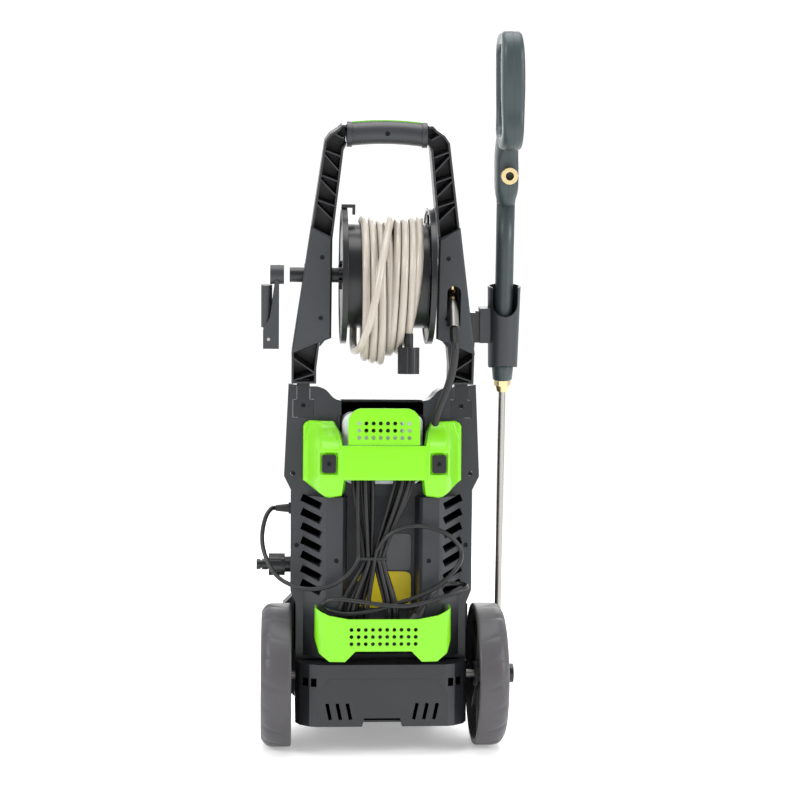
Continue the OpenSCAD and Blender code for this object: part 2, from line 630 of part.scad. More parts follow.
// ================= Wheels =================
module wheel() {
  half = wheel_w / 2;
  difference() {
    union() {
      // Rim with a chamfered outer shoulder, web and hub, turned about X
      rotate([0, 90, 0]) rotate_extrude($fn = 96)
          polygon([[wheel_r - 7, -half], [wheel_r - 1.5, -half], [wheel_r, -half + 2],
        [wheel_r, half - 14], [wheel_r - 2, half - 8], [wheel_r - 7, half - 1], [wheel_r - 12, half],
            [wheel_r - 14, half], [wheel_r - 14, 2],
        [24, 2], [24, half - 2], [axle_r + slack / 2, half - 2], [axle_r + slack / 2, -half + 2],
            [18, -half + 2], [18, -3],
        [wheel_r - 14, -3], [wheel_r - 7, -12]]);
      // Ribs behind the web and spokes in front of it
      for (a = [0:45:359]) rotate([a, 0, 0]) {
        block([-half + 6, -1.5, 16], [-2, 1.5, wheel_r - 9]);
        block([0, -6, 22], [half - 6, 6, wheel_r - 13]);
      }
    }
    // Tread: notches across the rim, slanted one way and then the other
    for (i = [0:17]) rotate([i * 20, 0, 0]) translate([half - 6, 0, wheel_r + 2])
        rotate([0, 0, i % 2 == 0 ? 14 : -14])
      block([-30, -1.6, -4], [30, 1.6, 4]);
  }
}
module wheel_left() color([0.36, 0.36, 0.38]) translate([axle_shift - wheel_x, 0, wheel_r])
    mirror([1, 0, 0]) wheel();
module wheel_right() color([0.36, 0.36, 0.38]) translate([axle_shift + wheel_x, 0, wheel_r]) wheel();
axle_end = wheel_x + wheel_w / 2;
module axle_rod() color([0.6, 0.6, 0.62]) bar_x([axle_shift - axle_end + 1, 0, wheel_r], axle_r,
    2 * axle_end - 1);
module axle_caps() color([0.12, 0.12, 0.13]) translate([axle_shift, 0, wheel_r]) {
  difference() {
    bar_x([-axle_end - 1, 0, 0], axle_r + 4, 2.7);
    bar_x([-axle_end + 4 - 3, 0, 0], axle_r + 0.05, 40);
  }
  bar_x([axle_end + eps, 0, 0], 14.5, 17);
}

// ================= Hose reel =================
module reel_at() leaning() translate([reel_x, shaft_y, reel_z]) rotate([0, 90, 0]) children();
flange_t = 5;
flange_r = flange_d / 2;
drum_r = drum_d / 2;
// Disc with a thicker rim, and windows near the rim
function window(a) = concat(arc([0, 0], flange_r - 10, a, a + 26, 6), arc([0, 0], flange_r - 26, a + 26,
    a, 6));
module flange_form(holes) difference() {
  union() {
    translate([0, 0, -flange_t / 2]) cylinder(r = flange_r, h = flange_t, $fn = 96);
    translate([0, 0, -flange_t / 2 - 1.5]) difference() {
      cylinder(r = flange_r - eps, h = flange_t + 3, $fn = 96);
      translate([0, 0, -1]) cylinder(r = flange_r - 5, h = flange_t + 5, $fn = 96);
    }
  }
  translate([0, 0, -10]) {
    cylinder(r = shaft_d / 2 + eps, h = 20);
    for (i = [0:holes - 1]) linear_extrude(20) polygon(window(i * 360 / holes + 17));
  }
}
hook_lip = (flange_r - drum_r) / 2 + 3.5;
module reel_flange_left() color([0.10, 0.11, 0.12]) reel_at() {
  translate([0, 0, -reel_half]) flange_form(6);
  // Hook over the rim that holds the hose end, and studs that face the arm
  translate([-flange_r - 5, -10, -reel_half - 4]) cube([5.2, 20, 19.5]);
  translate([-flange_r - 5, -10, -reel_half + 11.5]) cube([hook_lip, 20, 4]);
  for (a = [0:60:359]) rotate(a) translate([shaft_d / 2 + 6, 0, -reel_half - 7]) cylinder(r = 4, h = 5);
}
module reel_flange_right() color([0.10, 0.11, 0.12]) reel_at() translate([0, 0, reel_half])
    flange_form(5);
waist = 9;
function barrel(r) = [[r, -reel_half + 4], [r, -28], [r - waist / 2, -16], [r - waist, -4],
    [r - waist, 8], [r - waist / 2, 20], [r, 32], [r, reel_half - 4]];
function reversed(p) = [for (i = [len(p) - 1:-1:0]) p[i]];
shaft_left = arm_out(reel_z) + reel_x + 20;
shaft_right = 90 - reel_x;
module reel_drum() color([0.10, 0.11, 0.12]) reel_at() {
  rotate_extrude($fn = 96) polygon(concat(barrel(drum_r), reversed(barrel(drum_r - wall))));
  // Spokes that carry the barrel on the shaft, and the shaft itself
  for (a = [0:90:359]) rotate(a) translate([shaft_d / 2 - 1, -2, -reel_half + 8])
      cube([drum_r - waist - wall - shaft_d / 2 + 2, 4, reel_w - 16]);
  difference() {
    translate([0, 0, -shaft_left]) cylinder(r = shaft_d / 2, h = shaft_left + shaft_right);
    translate([0, 0, 40]) cylinder(r = 6, h = 200);
  }
}
crank_x = -arm_out(reel_z) - 38;
crank_len = 93;                       // from the shaft down to the grip's pin
grip_len = 74;
pin_x = crank_x - 12;
module crank_frame() leaning() translate([0, shaft_y, reel_z]) children();
module crank_arm() color([0.34, 0.34, 0.37]) crank_frame() difference() {
  union() {
    bar_x([crank_x - 10, 0, 0], 14, 20);
    // Web beside the machine, two cheeks that hold the pin
    block([crank_x - 3, -13.5, -crank_len - 14], [crank_x + 3, 13.5, -6]);
    for (s = [-1, 1]) plate_xz([[crank_x - 3, -10], [crank_x + 2, -10], [crank_x + 2, -107],
        [crank_x - 20, -107], [crank_x - 20, -80], [crank_x - 10, -60]],
      s * 12 - 1.5, s * 12 + 1.5);
  }
  bar_y([pin_x, -20, -crank_len], 2.5 + eps, 40);
}
module crank_pin() color([0.5, 0.5, 0.52]) crank_frame() bar_y([pin_x, -13.4, -crank_len], 2.5, 26.8);
module crank_grip() color([0.22, 0.22, 0.24]) crank_frame() difference() {
  union() {
    bar_z([pin_x - 3, 0, -crank_len + 16], 8, grip_len - 12);
    bar_y([pin_x, -9.8, -crank_len], 7, 19.6);
    bar_z([pin_x - 1.4, 0, -crank_len + 4], 5.5, 13);
  }
  bar_y([pin_x, -20, -crank_len], 2.5 + slack / 8, 40);
}
// The coil's outer shape: most turns are slack and hang below the drum, the last ones are snug
coil_in = -44;
coil_mid = 12;
coil_out = 42;
coil_r = 105;
coil_drop = 21;
snug_r = 92;
snug_drop = 4;
module reel_frame() leaning() translate([0, shaft_y, reel_z]) children();
module hose_coil() color([0.78, 0.75, 0.68]) difference() {
  reel_frame() rotate([-lean, 0, 0]) {
    bar_x([reel_x + coil_in, 0, -coil_drop], coil_r, coil_mid - coil_in);
    bar_x([reel_x + coil_mid - 1, 0, -snug_drop], snug_r, coil_out - coil_mid + 1);
  }
  reel_at() rotate_extrude($fn = 96) polygon(concat([[0, -reel_half]], barrel(drum_r + gap),
      [[0, reel_half]]));
}
tail_x = 33;
tail_y = -62;                         // behind the reel's shaft, towards the user
tail_z = -68;
module upright_tail() reel_frame() translate([tail_x, tail_y, tail_z]) rotate([-lean, 0, 0]) children();
tail_r = hose_d / 2 + 1;
module hose_tail() color([0.14, 0.14, 0.15]) upright_tail() bar_z([0, 0, -36 + eps], tail_r, 31.5);
module hose_nut() color([0.10, 0.10, 0.11]) upright_tail() difference() {
  bar_z([0, 0, -62], 15.5, 38);
  bar_z([0, 0, -37], tail_r + slack / 2, 20);
  bar_z([0, 0, -70], 11, 33);
  for (a = [0:24:359]) rotate(a) bar_z([16.6, 0, -70], 1.9, 60);
}

// ================= Feed hose to the reel =================
elbow_x = 100;
elbow_foot = [elbow_x, shaft_y - 9, reel_z - 31];
crimp_end = [elbow_x - 1, arm_y - 22, reel_z - 68];
crimp_dir = unit(crimp_end - elbow_foot);
module swivel_elbow() color([0.78, 0.60, 0.30]) leaning() {
  difference() {
    bar_x([reel_x + 46, shaft_y, reel_z], 5.6, elbow_x - reel_x - 40);
    bar_x([reel_x + 45, shaft_y, reel_z], 3, 30);
  }
  bar_z([elbow_x, shaft_y, reel_z - 22], 6.5, 24);
  hull() {
    translate([elbow_x, shaft_y, reel_z - 21]) sphere(6.5, $fn = 24);
    translate(elbow_foot) sphere(6.5, $fn = 24);
  }
}
module towards(v) rotate([0, acos(v[2]), atan2(v[1], v[0])]) children();
module hose_crimp() color([0.75, 0.76, 0.78]) leaning() translate(elbow_foot + 6.7 * crimp_dir)
    towards(crimp_dir)
  cylinder(r = 8, h = norm(crimp_end - elbow_foot) - 6.7);
// The hose goes down behind the yoke's wing, through the wall and down to the pump's outlet
link_r = 5.8;
hose_hole = [77, rail_y, 440];
outlet = [46, 70, 176];
function feed_route() = smooth([leaned(crimp_end + 0.3 * crimp_dir), leaned(crimp_end + 16 * crimp_dir),
    [100, -89, 590], [98, -77, 560], [91, -64, 530], [82, -55, 505],
  [76, -50, 484], [76, -46, 464], [77, -38, 448], [77, -26, 439], [77, -12, 428], [77, 4, 408],
      [78, 16, 376], [76, 26, 330], [70, 38, 280], [58, 56, 232],
  [48, 68, 204], outlet], 3);
module link_hose() color([0.10, 0.10, 0.11]) tube(feed_route(), link_r, 10);

// ================= Gun holster, gun and lance =================
// The lance hangs ahead of the wheel
gun_at = [181.4, wheel_r - 99, 622];
module gun_frame() translate(gun_at) rotate([lean, 0, 0]) rotate([0, -splay, 0]) children();
holster_r = 24.5;
module gun_holster() color([0.20, 0.21, 0.23]) gun_frame() difference() {
  union() {
    translate([0, 0, -60]) cylinder(r1 = holster_r - 2.5, r2 = holster_r, h = 122);
    block([-holster_r - 12, -11, -22], [-holster_r + 4, 11, 30]);
  }
  translate([0, 0, -61]) cylinder(r1 = holster_r - 5.5, r2 = holster_r - 3, h = 124);
  // Scooped mouth on the user's side, and arched foot
  bar_y([0, -60, 38], 18.5, 58);
  block([-18.5, -60, 38], [18.5, -2, 80]);
  bar_y([0, -60, -100], 45, 120);
  // Slot that the bracket's rail slides into
  block([-holster_r - 15, -7.3, -23], [-holster_r - 6, 7.3, 26]);
}
bracket_x = arm_out(590) + 2.5;
module holster_bracket() color([0.14, 0.14, 0.15]) {
  gun_frame() block([-holster_r - 27, -7, -22], [-holster_r - 6.3, 7, 25.6]);
  leaning() difference() {
    plate_xz([[arm_out(590) + gap, 590], [arm_out(642) + gap, 642], [bracket_x, 642], [bracket_x, 590]],
        arm_y + 12, arm_front + 44);
    bar_x([arm_out(642) - 1, arm_y + 22, 600], 2, 20);
  }
}
grip_back = -92;
body_foot = 190;                      // where the barrel cover widens into the gun's body
inlet_up = 228;                       // height of the hose inlet on the gun
// Side view of the gun above its barrel: body, rear grip, top and knuckle guard round the hand
function gun_outline() = concat([[18, body_foot], [22, body_foot + 14], [22, 268], [30, 306], [32, 340],
    [30, 370]], arc([0, 396], 28, 0, 80, 4),
  [[-60, 431]], arc([grip_back + 16, 415], 16, 95, 180, 3), [[grip_back, 290]],
      arc([grip_back + 12, 290], 12, 190, 260, 2),
  [[-44, 268], [-26, 256], [-24, 204], [-16, body_foot]]);
function gun_opening() = concat([[6, 288], [15, 312], [17, 340], [15, 372]],
    arc([-3, 392], 17, 0, 80, 3), [[-50, 412]], arc([-52, 402], 10, 90, 170, 3),
  [[-60, 306], [-50, 292], [-30, 284]]);
module gun_half(side) intersection() {
  difference() {
    union() {
      // Barrel cover with a collar at its foot
      bar_z([0, 0, -58], barrel_d / 2, body_foot + 60);
      translate([0, 0, -80]) cylinder(r1 = 14.5, r2 = 16.5, h = 24);
      plate_yz(gun_outline(), -gun_w / 2 - 2.5, gun_w / 2 + 2.5);
    }
    plate_yz(gun_opening(), -30, 30);
    // The grip and the guard are slimmer than the body
    for (k = [-1, 1]) plate_yz([[-110, 276], [-40, 268], [40, 268], [60, 440], [-110, 440]],
        k * (gun_w / 2 + 10) - 10, k * (gun_w / 2 + 10) + 10);
    // Channel for the pipe, seats of the inlet, trigger and lock
    bar_z([0, 0, -81], 6.2, inlet_up + 82);
    bar_y([0, -24.5, inlet_up], 9.2, 30);
    bar_y([0, -60, inlet_up], 12.3, 36);
    block([-6, -64, 300], [6, -44, 404]);
    block([-4.2, -46, 262], [4.2, 18, 296]);
  }
  block(side < 0 ? [-40, -120, -90] : [0.05, -120, -90], side < 0 ? [-0.05, 60, 450] : [40, 60, 450]);
}
module gun_shell_left() color([0.30, 0.35, 0.36]) gun_frame() gun_half(-1);
module gun_shell_right() color([0.30, 0.35, 0.36]) gun_frame() gun_half(1);
trigger_pin = [0, -55, 394];
module gun_trigger() color([0.12, 0.12, 0.13]) gun_frame() difference() {
  plate_yz([[-58, 400], [-51, 400], [-41, 372], [-37, 340], [-40, 314], [-46, 312], [-48, 344],
      [-52, 370], [-58, 388]], -5.4, 5.4);
  bar_x([-6, trigger_pin[1], trigger_pin[2]], 1.8, 12);
}
lock_pin = [0, -30, 289];
module trigger_lock() color([0.75, 0.12, 0.08]) gun_frame() difference() {
  plate_yz([[-36, 285], [-26, 285], [-25, 294], [-29, 302], [-35, 302]], -3.8, 3.8);
  bar_x([-6, lock_pin[1], lock_pin[2]], 1, 12);
}
module gun_inlet() color([0.80, 0.66, 0.40]) gun_frame() difference() {
  union() {
    bar_y([0, -38, inlet_up], 12, 13.9);
    bar_y([0, -24.2, inlet_up], 9, 22);
    bar_z([0, 0, -79], 5.8, inlet_up + 80);
  }
  bar_y([0, -39, inlet_up], 6, 24);
  bar_y([0, -16, inlet_up], 3, 16);
  bar_z([0, 0, -50], 3, inlet_up + 40);
  bar_z([0, 0, -80], 4.4, 26.9);
}
module lance_nut() color([0.82, 0.72, 0.42]) gun_frame() difference() {
  union() {
    translate([0, 0, -88.5]) cylinder(r = 12.6, h = 8.2, $fn = 6);
    translate([0, 0, -98]) cylinder(r1 = 8.5, r2 = 11, h = 9.6);
  }
  bar_z([0, 0, -100], lance_d / 2 + slack / 8, 40);
}
lance_foot = -98 - lance_len;
nozzle_r = lance_d / 2 + 2.5;
module lance_tube() color([0.80, 0.80, 0.78]) gun_frame() difference() {
  union() {
    bar_z([0, 0, lance_foot], lance_d / 2, lance_len + 17);
    bar_z([0, 0, -81.1], 4, 12);
  }
  bar_z([0, 0, lance_foot - 1], lance_d / 2 - 1.5, lance_len);
}
module lance_nozzle() color([0.10, 0.10, 0.11]) gun_frame() difference() {
  union() {
    bar_z([0, 0, lance_foot - 14], nozzle_r, 38);
    translate([0, 0, lance_foot - 22]) cylinder(r1 = nozzle_r - 3, r2 = nozzle_r, h = 8.01);
  }
  bar_z([0, 0, lance_foot], lance_d / 2 + slack / 8, 40);
  bar_z([0, 0, lance_foot - 40], 1.6, 50);
}

// ================= Water inlet and power cord gland =================
inlet_y = 8;
inlet_reach = 50;                      // from the rail's side to the end of the coupling plug
inlet_z = 2 * wheel_r + 58;            // above the wheel
module inlet_body() color([0.10, 0.10, 0.11]) difference() {
  union() {
    bar_x([-rail_x - 10, inlet_y, inlet_z], 11.8, 26);
    bar_x([-rail_x - inlet_reach + 16, inlet_y, inlet_z], 7, 26);
    bar_x([-rail_x + 14 - eps, inlet_y, inlet_z], 8, 30);
    // Plug of the quick coupling
    bar_x([-rail_x - inlet_reach, inlet_y, inlet_z], 7.9, 6);
    bar_x([-rail_x - inlet_reach + 5, inlet_y, inlet_z], 6, 4);
    bar_x([-rail_x - inlet_reach + 8, inlet_y, inlet_z], 8.4, 9);
  }
  bar_x([-rail_x - inlet_reach - 2, inlet_y, inlet_z], 4.2, 100);
}
module inlet_nut() color([0.10, 0.10, 0.11]) difference() {
  bar_x([-rail_x - 32, inlet_y, inlet_z], 16.8, 24);
  bar_x([-rail_x - 11, inlet_y, inlet_z], 11.8 + slack / 2, 6);
  bar_x([-rail_x - 38, inlet_y, inlet_z], 7 + slack / 2, 40);
  for (a = [0:30:359]) translate([-rail_x - 34, inlet_y, inlet_z]) rotate([a, 0, 0])
      translate([0, 0, 18]) rotate([0, 90, 0]) cylinder(r = 2.2, h = 20);
}
gland_y = 2;
gland_z = 352;
module cable_gland() color([0.08, 0.08, 0.09]) difference() {
  union() {
    bar_x([-rail_x - 3, gland_y, gland_z], 8.5, 2.9);
    bar_x([-rail_x - 1, gland_y, gland_z], 6, 12);
    translate([-rail_x - 22, gland_y, gland_z]) rotate([0, 90, 0])
        cylinder(r1 = 4.4, r2 = 6.4, h = 19.1);
  }
  bar_x([-rail_x - 23, gland_y, gland_z], cord_d / 2 + 0.1, 40);
}

// ================= Motor and pump, inside =================
motor = [0, 70, 0];
module motor_stator() color([0.45, 0.45, 0.47]) translate(motor) difference() {
  union() {
    bar_z([0, 0, 262], 46, 104);
    bar_z([0, 0, 366 - eps], 30, 16);
  }
  bar_z([0, 0, 265], 30, 98);
  bar_z([0, 0, 200], 8 + slack / 2, 200);
}
module rotor() color([0.62, 0.45, 0.30]) translate(motor) {
  bar_z([0, 0, 276], 28, 72);
  bar_z([0, 0, 216], 8, 184);
  bar_z([0, 0, 384], 32, 5);
  for (a = [0:45:359]) rotate(a) block([10, -1, 388], [32, 1, 400]);
}
module swash_plate() color([0.55, 0.55, 0.58]) translate(motor) {
  difference() {
    bar_z([0, 0, 216], 24, 14);
    // Slanted face that the pistons bear on
    translate([0, 0, 216]) rotate([0, 8, 0]) block([-40, -40, -20], [40, 40, 0]);
    bar_z([0, 0, 200], 8 + eps, 40);
  }
}
piston_ring = 16;
module pump_block() color([0.62, 0.63, 0.65]) translate(motor) difference() {
  union() {
    bar_z([0, 0, 148], 32, 40);
    block([-34, -26, 138], [34, 26, 160]);
    bar_x([-58, 0, 152], 9, 116);
    bar_z([outlet[0], 0, 152], 8, outlet[2] - 152.3);
  }
  for (i = [0:2]) rotate(120 * i) bar_z([piston_ring, 0, 165], 5 + slack / 2, 40);
}
module piston(i) color([0.80, 0.80, 0.82]) translate(motor) rotate(120 * i)
    bar_z([piston_ring, 0, 176], 5, 30);
module switch_box() color([0.15, 0.15, 0.16]) difference() {
  block([-22, front_y - 48, 270], [22, front_y - 18, 314]);
  bar_y([0, front_y - 40, 292], 6.5, 60);
}
module switch_knob() color([0.12, 0.12, 0.13]) difference() {
  union() {
    bar_y([0, front_y + 2, 292], 26, 12);
    block([-5, front_y + 13.9, 270], [5, front_y + 22, 314]);
    bar_y([0, front_y - 38, 292], 6, 42);
  }
}

// ================= Power cord =================
hank_y0 = -72;
hank_deep = 24;
cord_r = cord_d / 2;
// From the gland round to the hank; then from the hank, in a loose loop and over the basket, to the plug
function lead_in() = smooth([[-rail_x - 22.3, gland_y, gland_z], [-161, -1, 351.5], [-169, -11, 341], [-174, -24, 320],
  [-173, -38, 299], [-165, -51, 278], [-150, -63, 258], [-124, -74, 246], [-98, -80, 244], [-74, -81, 249],
  [-56, -81, 260], [-45, -79, 271], [-36, -76, 284]], 2);
function lead_out() = smooth([[-8, -75.4, 300], [6, -79, 320], [28, -81, 332], [59, -82, 334],
    [88, -82, 325],
  [108, -81, 307], [112, -82, 288], [101, -84, 269], [77, -88, 248], [48, -91, 234], [16, -90, 223],
      [-16, -86, 213],
  [-52, -81, 208], [-78, -79, 213], [-86, -86, 224], [-70, -93, 231], [-40, -97, 229], [-4, -99, 224],
      [32, -99, 222],
  [64, -97, 228], [94, -94, 237], [114, -86, 243], [122, -72, 246], [113, -58, 248], [96, -57, 247],
      [82, -68, 245],
  [70, -78, 236], plug_at + 40.4 * [sin(plug_tilt), 0, cos(plug_tilt)]], 2);
module power_cord() color([0.06, 0.06, 0.07]) {
  tube(lead_in(), cord_r, 8);
  tube(lead_out(), cord_r, 8);
}
// The hank hangs behind the yoke's beam and is pinched by its tie
function hank_middle(z) = -2 - (400 - z) * 0.09;
module cord_hank() color([0.06, 0.06, 0.07]) plate_xz(concat(
  arc([hank_middle(398), 398], 34, 0, 180, 16), [[tie_x - 18, tie_z + 4], [tie_x - 18, tie_z - 4]],
  arc([hank_middle(224), 224], 26, 180, 360, 16), [[tie_x + 18, tie_z - 4], [tie_x + 18, tie_z + 4]]),
  hank_y0, hank_y0 + hank_deep);
tie_x = -14;
tie_z = 286;
module cord_tie() color([0.05, 0.05, 0.05]) block([tie_x - 20, hank_y0 - 1.2, tie_z - 2],
    [tie_x + 20, hank_y0, tie_z + 2]);
plug_at = [40, -82, 186];
plug_tilt = 28;
module plug() color([0.06, 0.06, 0.07]) translate(plug_at) rotate([0, plug_tilt, 0]) {
  cylinder(r = 13, h = 24);
  translate([0, 0, 24 - eps]) cylinder(r1 = 9, r2 = 5, h = 16);
  for (s = [-1, 1]) translate([s * 8, 0, -17]) cylinder(r = 2.2, h = 17.1, $fn = 24);
}

// The origin is under the middle of the box round the machine without its cord and hose: from the
// inlet's plug to the wheel's cap, and from the back of the gun to the knob
gun_rear = gun_at[1] + min([for (p = gun_outline())
  p[0] * cos(lean) - (p[1] * cos(splay) + gun_w / 2 * sin(splay)) * sin(lean)]);
holster_side = gun_at[0] + holster_r * cos(splay) - 62 * sin(splay);
centre = [(max(axle_shift + axle_end + 17, holster_side) - rail_x - inlet_reach) / 2,
  (front_y + 22 + gun_rear) / 2];
module piston_1() piston(0);
module piston_2() piston(1);
module piston_3() piston(2);
translate([-centre[0], -centre[1], 0]) {
  rear_housing();
  front_housing();
  base_housing();
  front_cover();
  front_foot();
  foot_pads();
  cord_yoke();
  tank_guard();
  yoke_pads();
  cord_basket();
  tank();
  tank_cap();
  handle_frame();
  grip_cover();
  grip_trim();
  arm_cover_left();
  arm_cover_right();
  screws();
  wheel_left();
  wheel_right();
  axle_rod();
  axle_caps();
  reel_flange_left();
  reel_flange_right();
  reel_drum();
  crank_arm();
  crank_pin();
  crank_grip();
  hose_coil();
  hose_tail();
  hose_nut();
  swivel_elbow();
  hose_crimp();
  link_hose();
  gun_holster();
  holster_bracket();
  gun_shell_left();
  gun_shell_right();
  gun_trigger();
  trigger_lock();
  gun_inlet();
  lance_nut();
  lance_tube();
  lance_nozzle();
  inlet_body();
  inlet_nut();
  cable_gland();
  motor_stator();
  rotor();
  swash_plate();
  pump_block();
  piston_1();
  piston_2();
  piston_3();
  switch_box();
  switch_knob();
  power_cord();
  cord_hank();
  plug();
  cord_tie();
}
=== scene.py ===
"""Looks of an upright pressure washer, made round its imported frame. Lengths in this file are millimetres until a
surface becomes a mesh, and places are given about the machine's own middle, as in its CAD source."""
import math
import bpy
import numpy as np
from mathutils import Matrix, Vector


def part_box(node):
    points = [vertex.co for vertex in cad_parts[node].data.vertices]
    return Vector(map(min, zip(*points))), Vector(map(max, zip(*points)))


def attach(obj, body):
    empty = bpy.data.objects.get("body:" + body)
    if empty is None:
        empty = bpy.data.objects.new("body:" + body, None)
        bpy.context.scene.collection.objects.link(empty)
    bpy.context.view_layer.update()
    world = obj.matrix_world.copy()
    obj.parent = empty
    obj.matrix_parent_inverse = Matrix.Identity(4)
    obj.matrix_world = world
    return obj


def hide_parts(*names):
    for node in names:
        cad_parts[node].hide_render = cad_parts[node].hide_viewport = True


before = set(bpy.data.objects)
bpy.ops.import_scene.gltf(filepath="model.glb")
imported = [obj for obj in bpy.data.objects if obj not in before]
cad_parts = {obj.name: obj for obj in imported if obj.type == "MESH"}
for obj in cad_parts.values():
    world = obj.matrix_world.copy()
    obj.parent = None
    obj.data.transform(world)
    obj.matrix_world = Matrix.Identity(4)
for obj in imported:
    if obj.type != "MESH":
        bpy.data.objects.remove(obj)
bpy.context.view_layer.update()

LEAN = math.radians(12)
SPLAY = math.radians(1)

# The frame's origin in the machine's own coordinates, from two nodes whose place there is known: the inlet's plug
# ends at X -183 and the switch knob at Y 190
ORIGIN = np.array([-183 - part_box("inlet_body")[0].x * 1000, 190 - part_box("switch_knob")[1].y * 1000, 0.0])


def row(points):
    """Machine millimetres to frame metres."""
    return (np.asarray(points, float) - ORIGIN) / 1000


def leaned(p):
    """A point of the upright handle, turned back about the handle's foot."""
    p = np.asarray(p, float)
    y, z = p[..., 1] + 30, p[..., 2] - 520
    return np.stack([p[..., 0], -30 + y * math.cos(LEAN) - z * math.sin(LEAN),
                     520 + y * math.sin(LEAN) + z * math.cos(LEAN)], -1)


GUN_AT = np.array([181.4, 6, 622.0])


def gun_place(p):
    """A point of the upright gun, splayed sideways and leaned like the handle."""
    p = np.asarray(p, float)
    x = p[..., 0] * math.cos(SPLAY) - p[..., 2] * math.sin(SPLAY)
    z = p[..., 0] * math.sin(SPLAY) + p[..., 2] * math.cos(SPLAY)
    y = p[..., 1]
    return GUN_AT + np.stack([x, y * math.cos(LEAN) - z * math.sin(LEAN), y * math.sin(LEAN) + z * math.cos(LEAN)],
            -1)


# ---------------------------------------------------------------- camera, floor and light
def make_camera():
    """A long lens far back, level with the middle of the machine and a little to its left."""
    yaw, pitch, roll = math.radians(4), math.radians(2.1), math.radians(0.45)
    ahead = np.array([math.sin(yaw) * math.cos(pitch), math.cos(yaw) * math.cos(pitch), -math.sin(pitch)])
    side = np.array([math.cos(yaw), -math.sin(yaw), 0])
    up = np.cross(side, ahead)
    right = math.cos(roll) * side + math.sin(roll) * up
    top = -math.sin(roll) * side + math.cos(roll) * up
    data = bpy.data.cameras.new("camera")
    data.lens, data.sensor_width = 74.25, 36
    camera = bpy.data.objects.new("camera", data)
    bpy.context.scene.collection.objects.link(camera)
    place = row([-142.6, -2435.6, 602.2])
    m = np.eye(4)
    m[:3, 0], m[:3, 1], m[:3, 2], m[:3, 3] = right, top, -ahead, place
    camera.matrix_world = Matrix(m.tolist())
    bpy.context.scene.camera = camera


def soft_light(name, place, aim, size, power):
    """A square lamp that faces the point it is aimed at."""
    data = bpy.data.lights.new(name, "AREA")
    data.size, data.energy = size, power
    lamp = bpy.data.objects.new(name, data)
    bpy.context.scene.collection.objects.link(lamp)
    place, aim = np.array(place, float), np.array(aim, float)
    back = (place - aim) / np.linalg.norm(place - aim)
    side = np.cross([0, 0, 1.0], back)
    side /= np.linalg.norm(side)
    m = np.eye(4)
    m[:3, 0], m[:3, 1], m[:3, 2], m[:3, 3] = side, np.cross(back, side), back, place
    lamp.matrix_world = Matrix(m.tolist())


make_camera()
soft_light("key", (-2.1, -1.7, 1.9), (0, 0, 0.5), 1.1, 44)
soft_light("fill", (2.2, -1.5, 1.2), (0, 0, 0.5), 1.1, 36)
soft_light("top", (0.1, -0.2, 2.9), (0, 0, 0.4), 2.0, 52)
soft_light("rear", (0.6, 2.6, 1.7), (0, 0, 0.6), 1.8, 40)
world = bpy.data.worlds.new("studio")
bpy.context.scene.world = world
world.use_nodes = True
world.node_tree.nodes["Background"].inputs[0].default_value = (1, 1, 1, 1)
bpy.context.scene.view_settings.view_transform = "Standard"


# ---------------------------------------------------------------- shader maths
class Field:
    """A value or colour that varies over a surface. Sums and products of fields add their Math nodes."""

    def __init__(self, tree, socket):
        self.tree, self.socket = tree, socket

    def node(self, kind, out=0, settings=None, **inputs):
        """A node of that kind: its settings first, then its sockets, by name, or by number as i0, i1."""
        made = self.tree.nodes.new(kind)
        for key, value in (settings or {}).items():
            if key == "stops":
                while len(made.color_ramp.elements) > 1:
                    made.color_ramp.elements.remove(made.color_ramp.elements[-1])
                for n, (at, colour) in enumerate(value):
                    e = made.color_ramp.elements[0] if n == 0 else made.color_ramp.elements.new(at)
                    e.position, e.color = at, colour
            else:
                setattr(made, key, value)
        for key, value in inputs.items():
            numbered = key[0] == "i" and key[1:].isdigit()
            target = made.inputs[int(key[1:]) if numbered else key.replace("_", " ")]
            if isinstance(value, Field):
                self.tree.links.new(value.socket, target)
            else:
                target.default_value = value
        return Field(self.tree, made.outputs[out])

    def math(self, operation, other=0.0, third=0.0):
        return self.node("ShaderNodeMath", settings={"operation": operation}, i0=self, i1=other, i2=third)

    def flipped(self, operation, other):
        return self.node("ShaderNodeMath", settings={"operation": operation}, i0=other, i1=self)

    def __add__(self, other): return self.math("ADD", other)
    def __sub__(self, other): return self.math("SUBTRACT", other)
    def __mul__(self, other): return self.math("MULTIPLY", other)
    def __truediv__(self, other): return self.math("DIVIDE", other)
    def __radd__(self, other): return self.flipped("ADD", other)
    def __rsub__(self, other): return self.flipped("SUBTRACT", other)
    def __rmul__(self, other): return self.flipped("MULTIPLY", other)
    def __rtruediv__(self, other): return self.flipped("DIVIDE", other)

    def step(self, low, high):
        """0 under low, 1 over high, smooth between."""
        return self.node("ShaderNodeMapRange", settings={"interpolation_type": "SMOOTHSTEP"}, Value=self,
                From_Min=low, From_Max=high)

    def blend(self, a, b):
        """Colour a where this is 0 and colour b where it is 1."""
        return self.node("ShaderNodeMix", out=2, settings={"data_type": "RGBA"}, i0=self, i6=a, i7=b)

    def noise(self, scale, detail=2.0, rough=0.5):
        return self.node("ShaderNodeTexNoise", Vector=self, Scale=scale, Detail=detail, Roughness=rough)

    def axis(self, n):
        return self.node("ShaderNodeSeparateXYZ", out=n, Vector=self)


def light_the_studio():
    """White beyond the machine and dimmer behind the viewer, so that gloss keeps dark tones between the lamps."""
    tree = world.node_tree
    ray = Field(tree, tree.nodes.new("ShaderNodeTexCoord").outputs["Generated"])
    strength = 0.5 + ray.axis(1).step(-0.25, 0.45) * 0.58
    tree.links.new(strength.socket, tree.nodes["Background"].inputs[1])


light_the_studio()


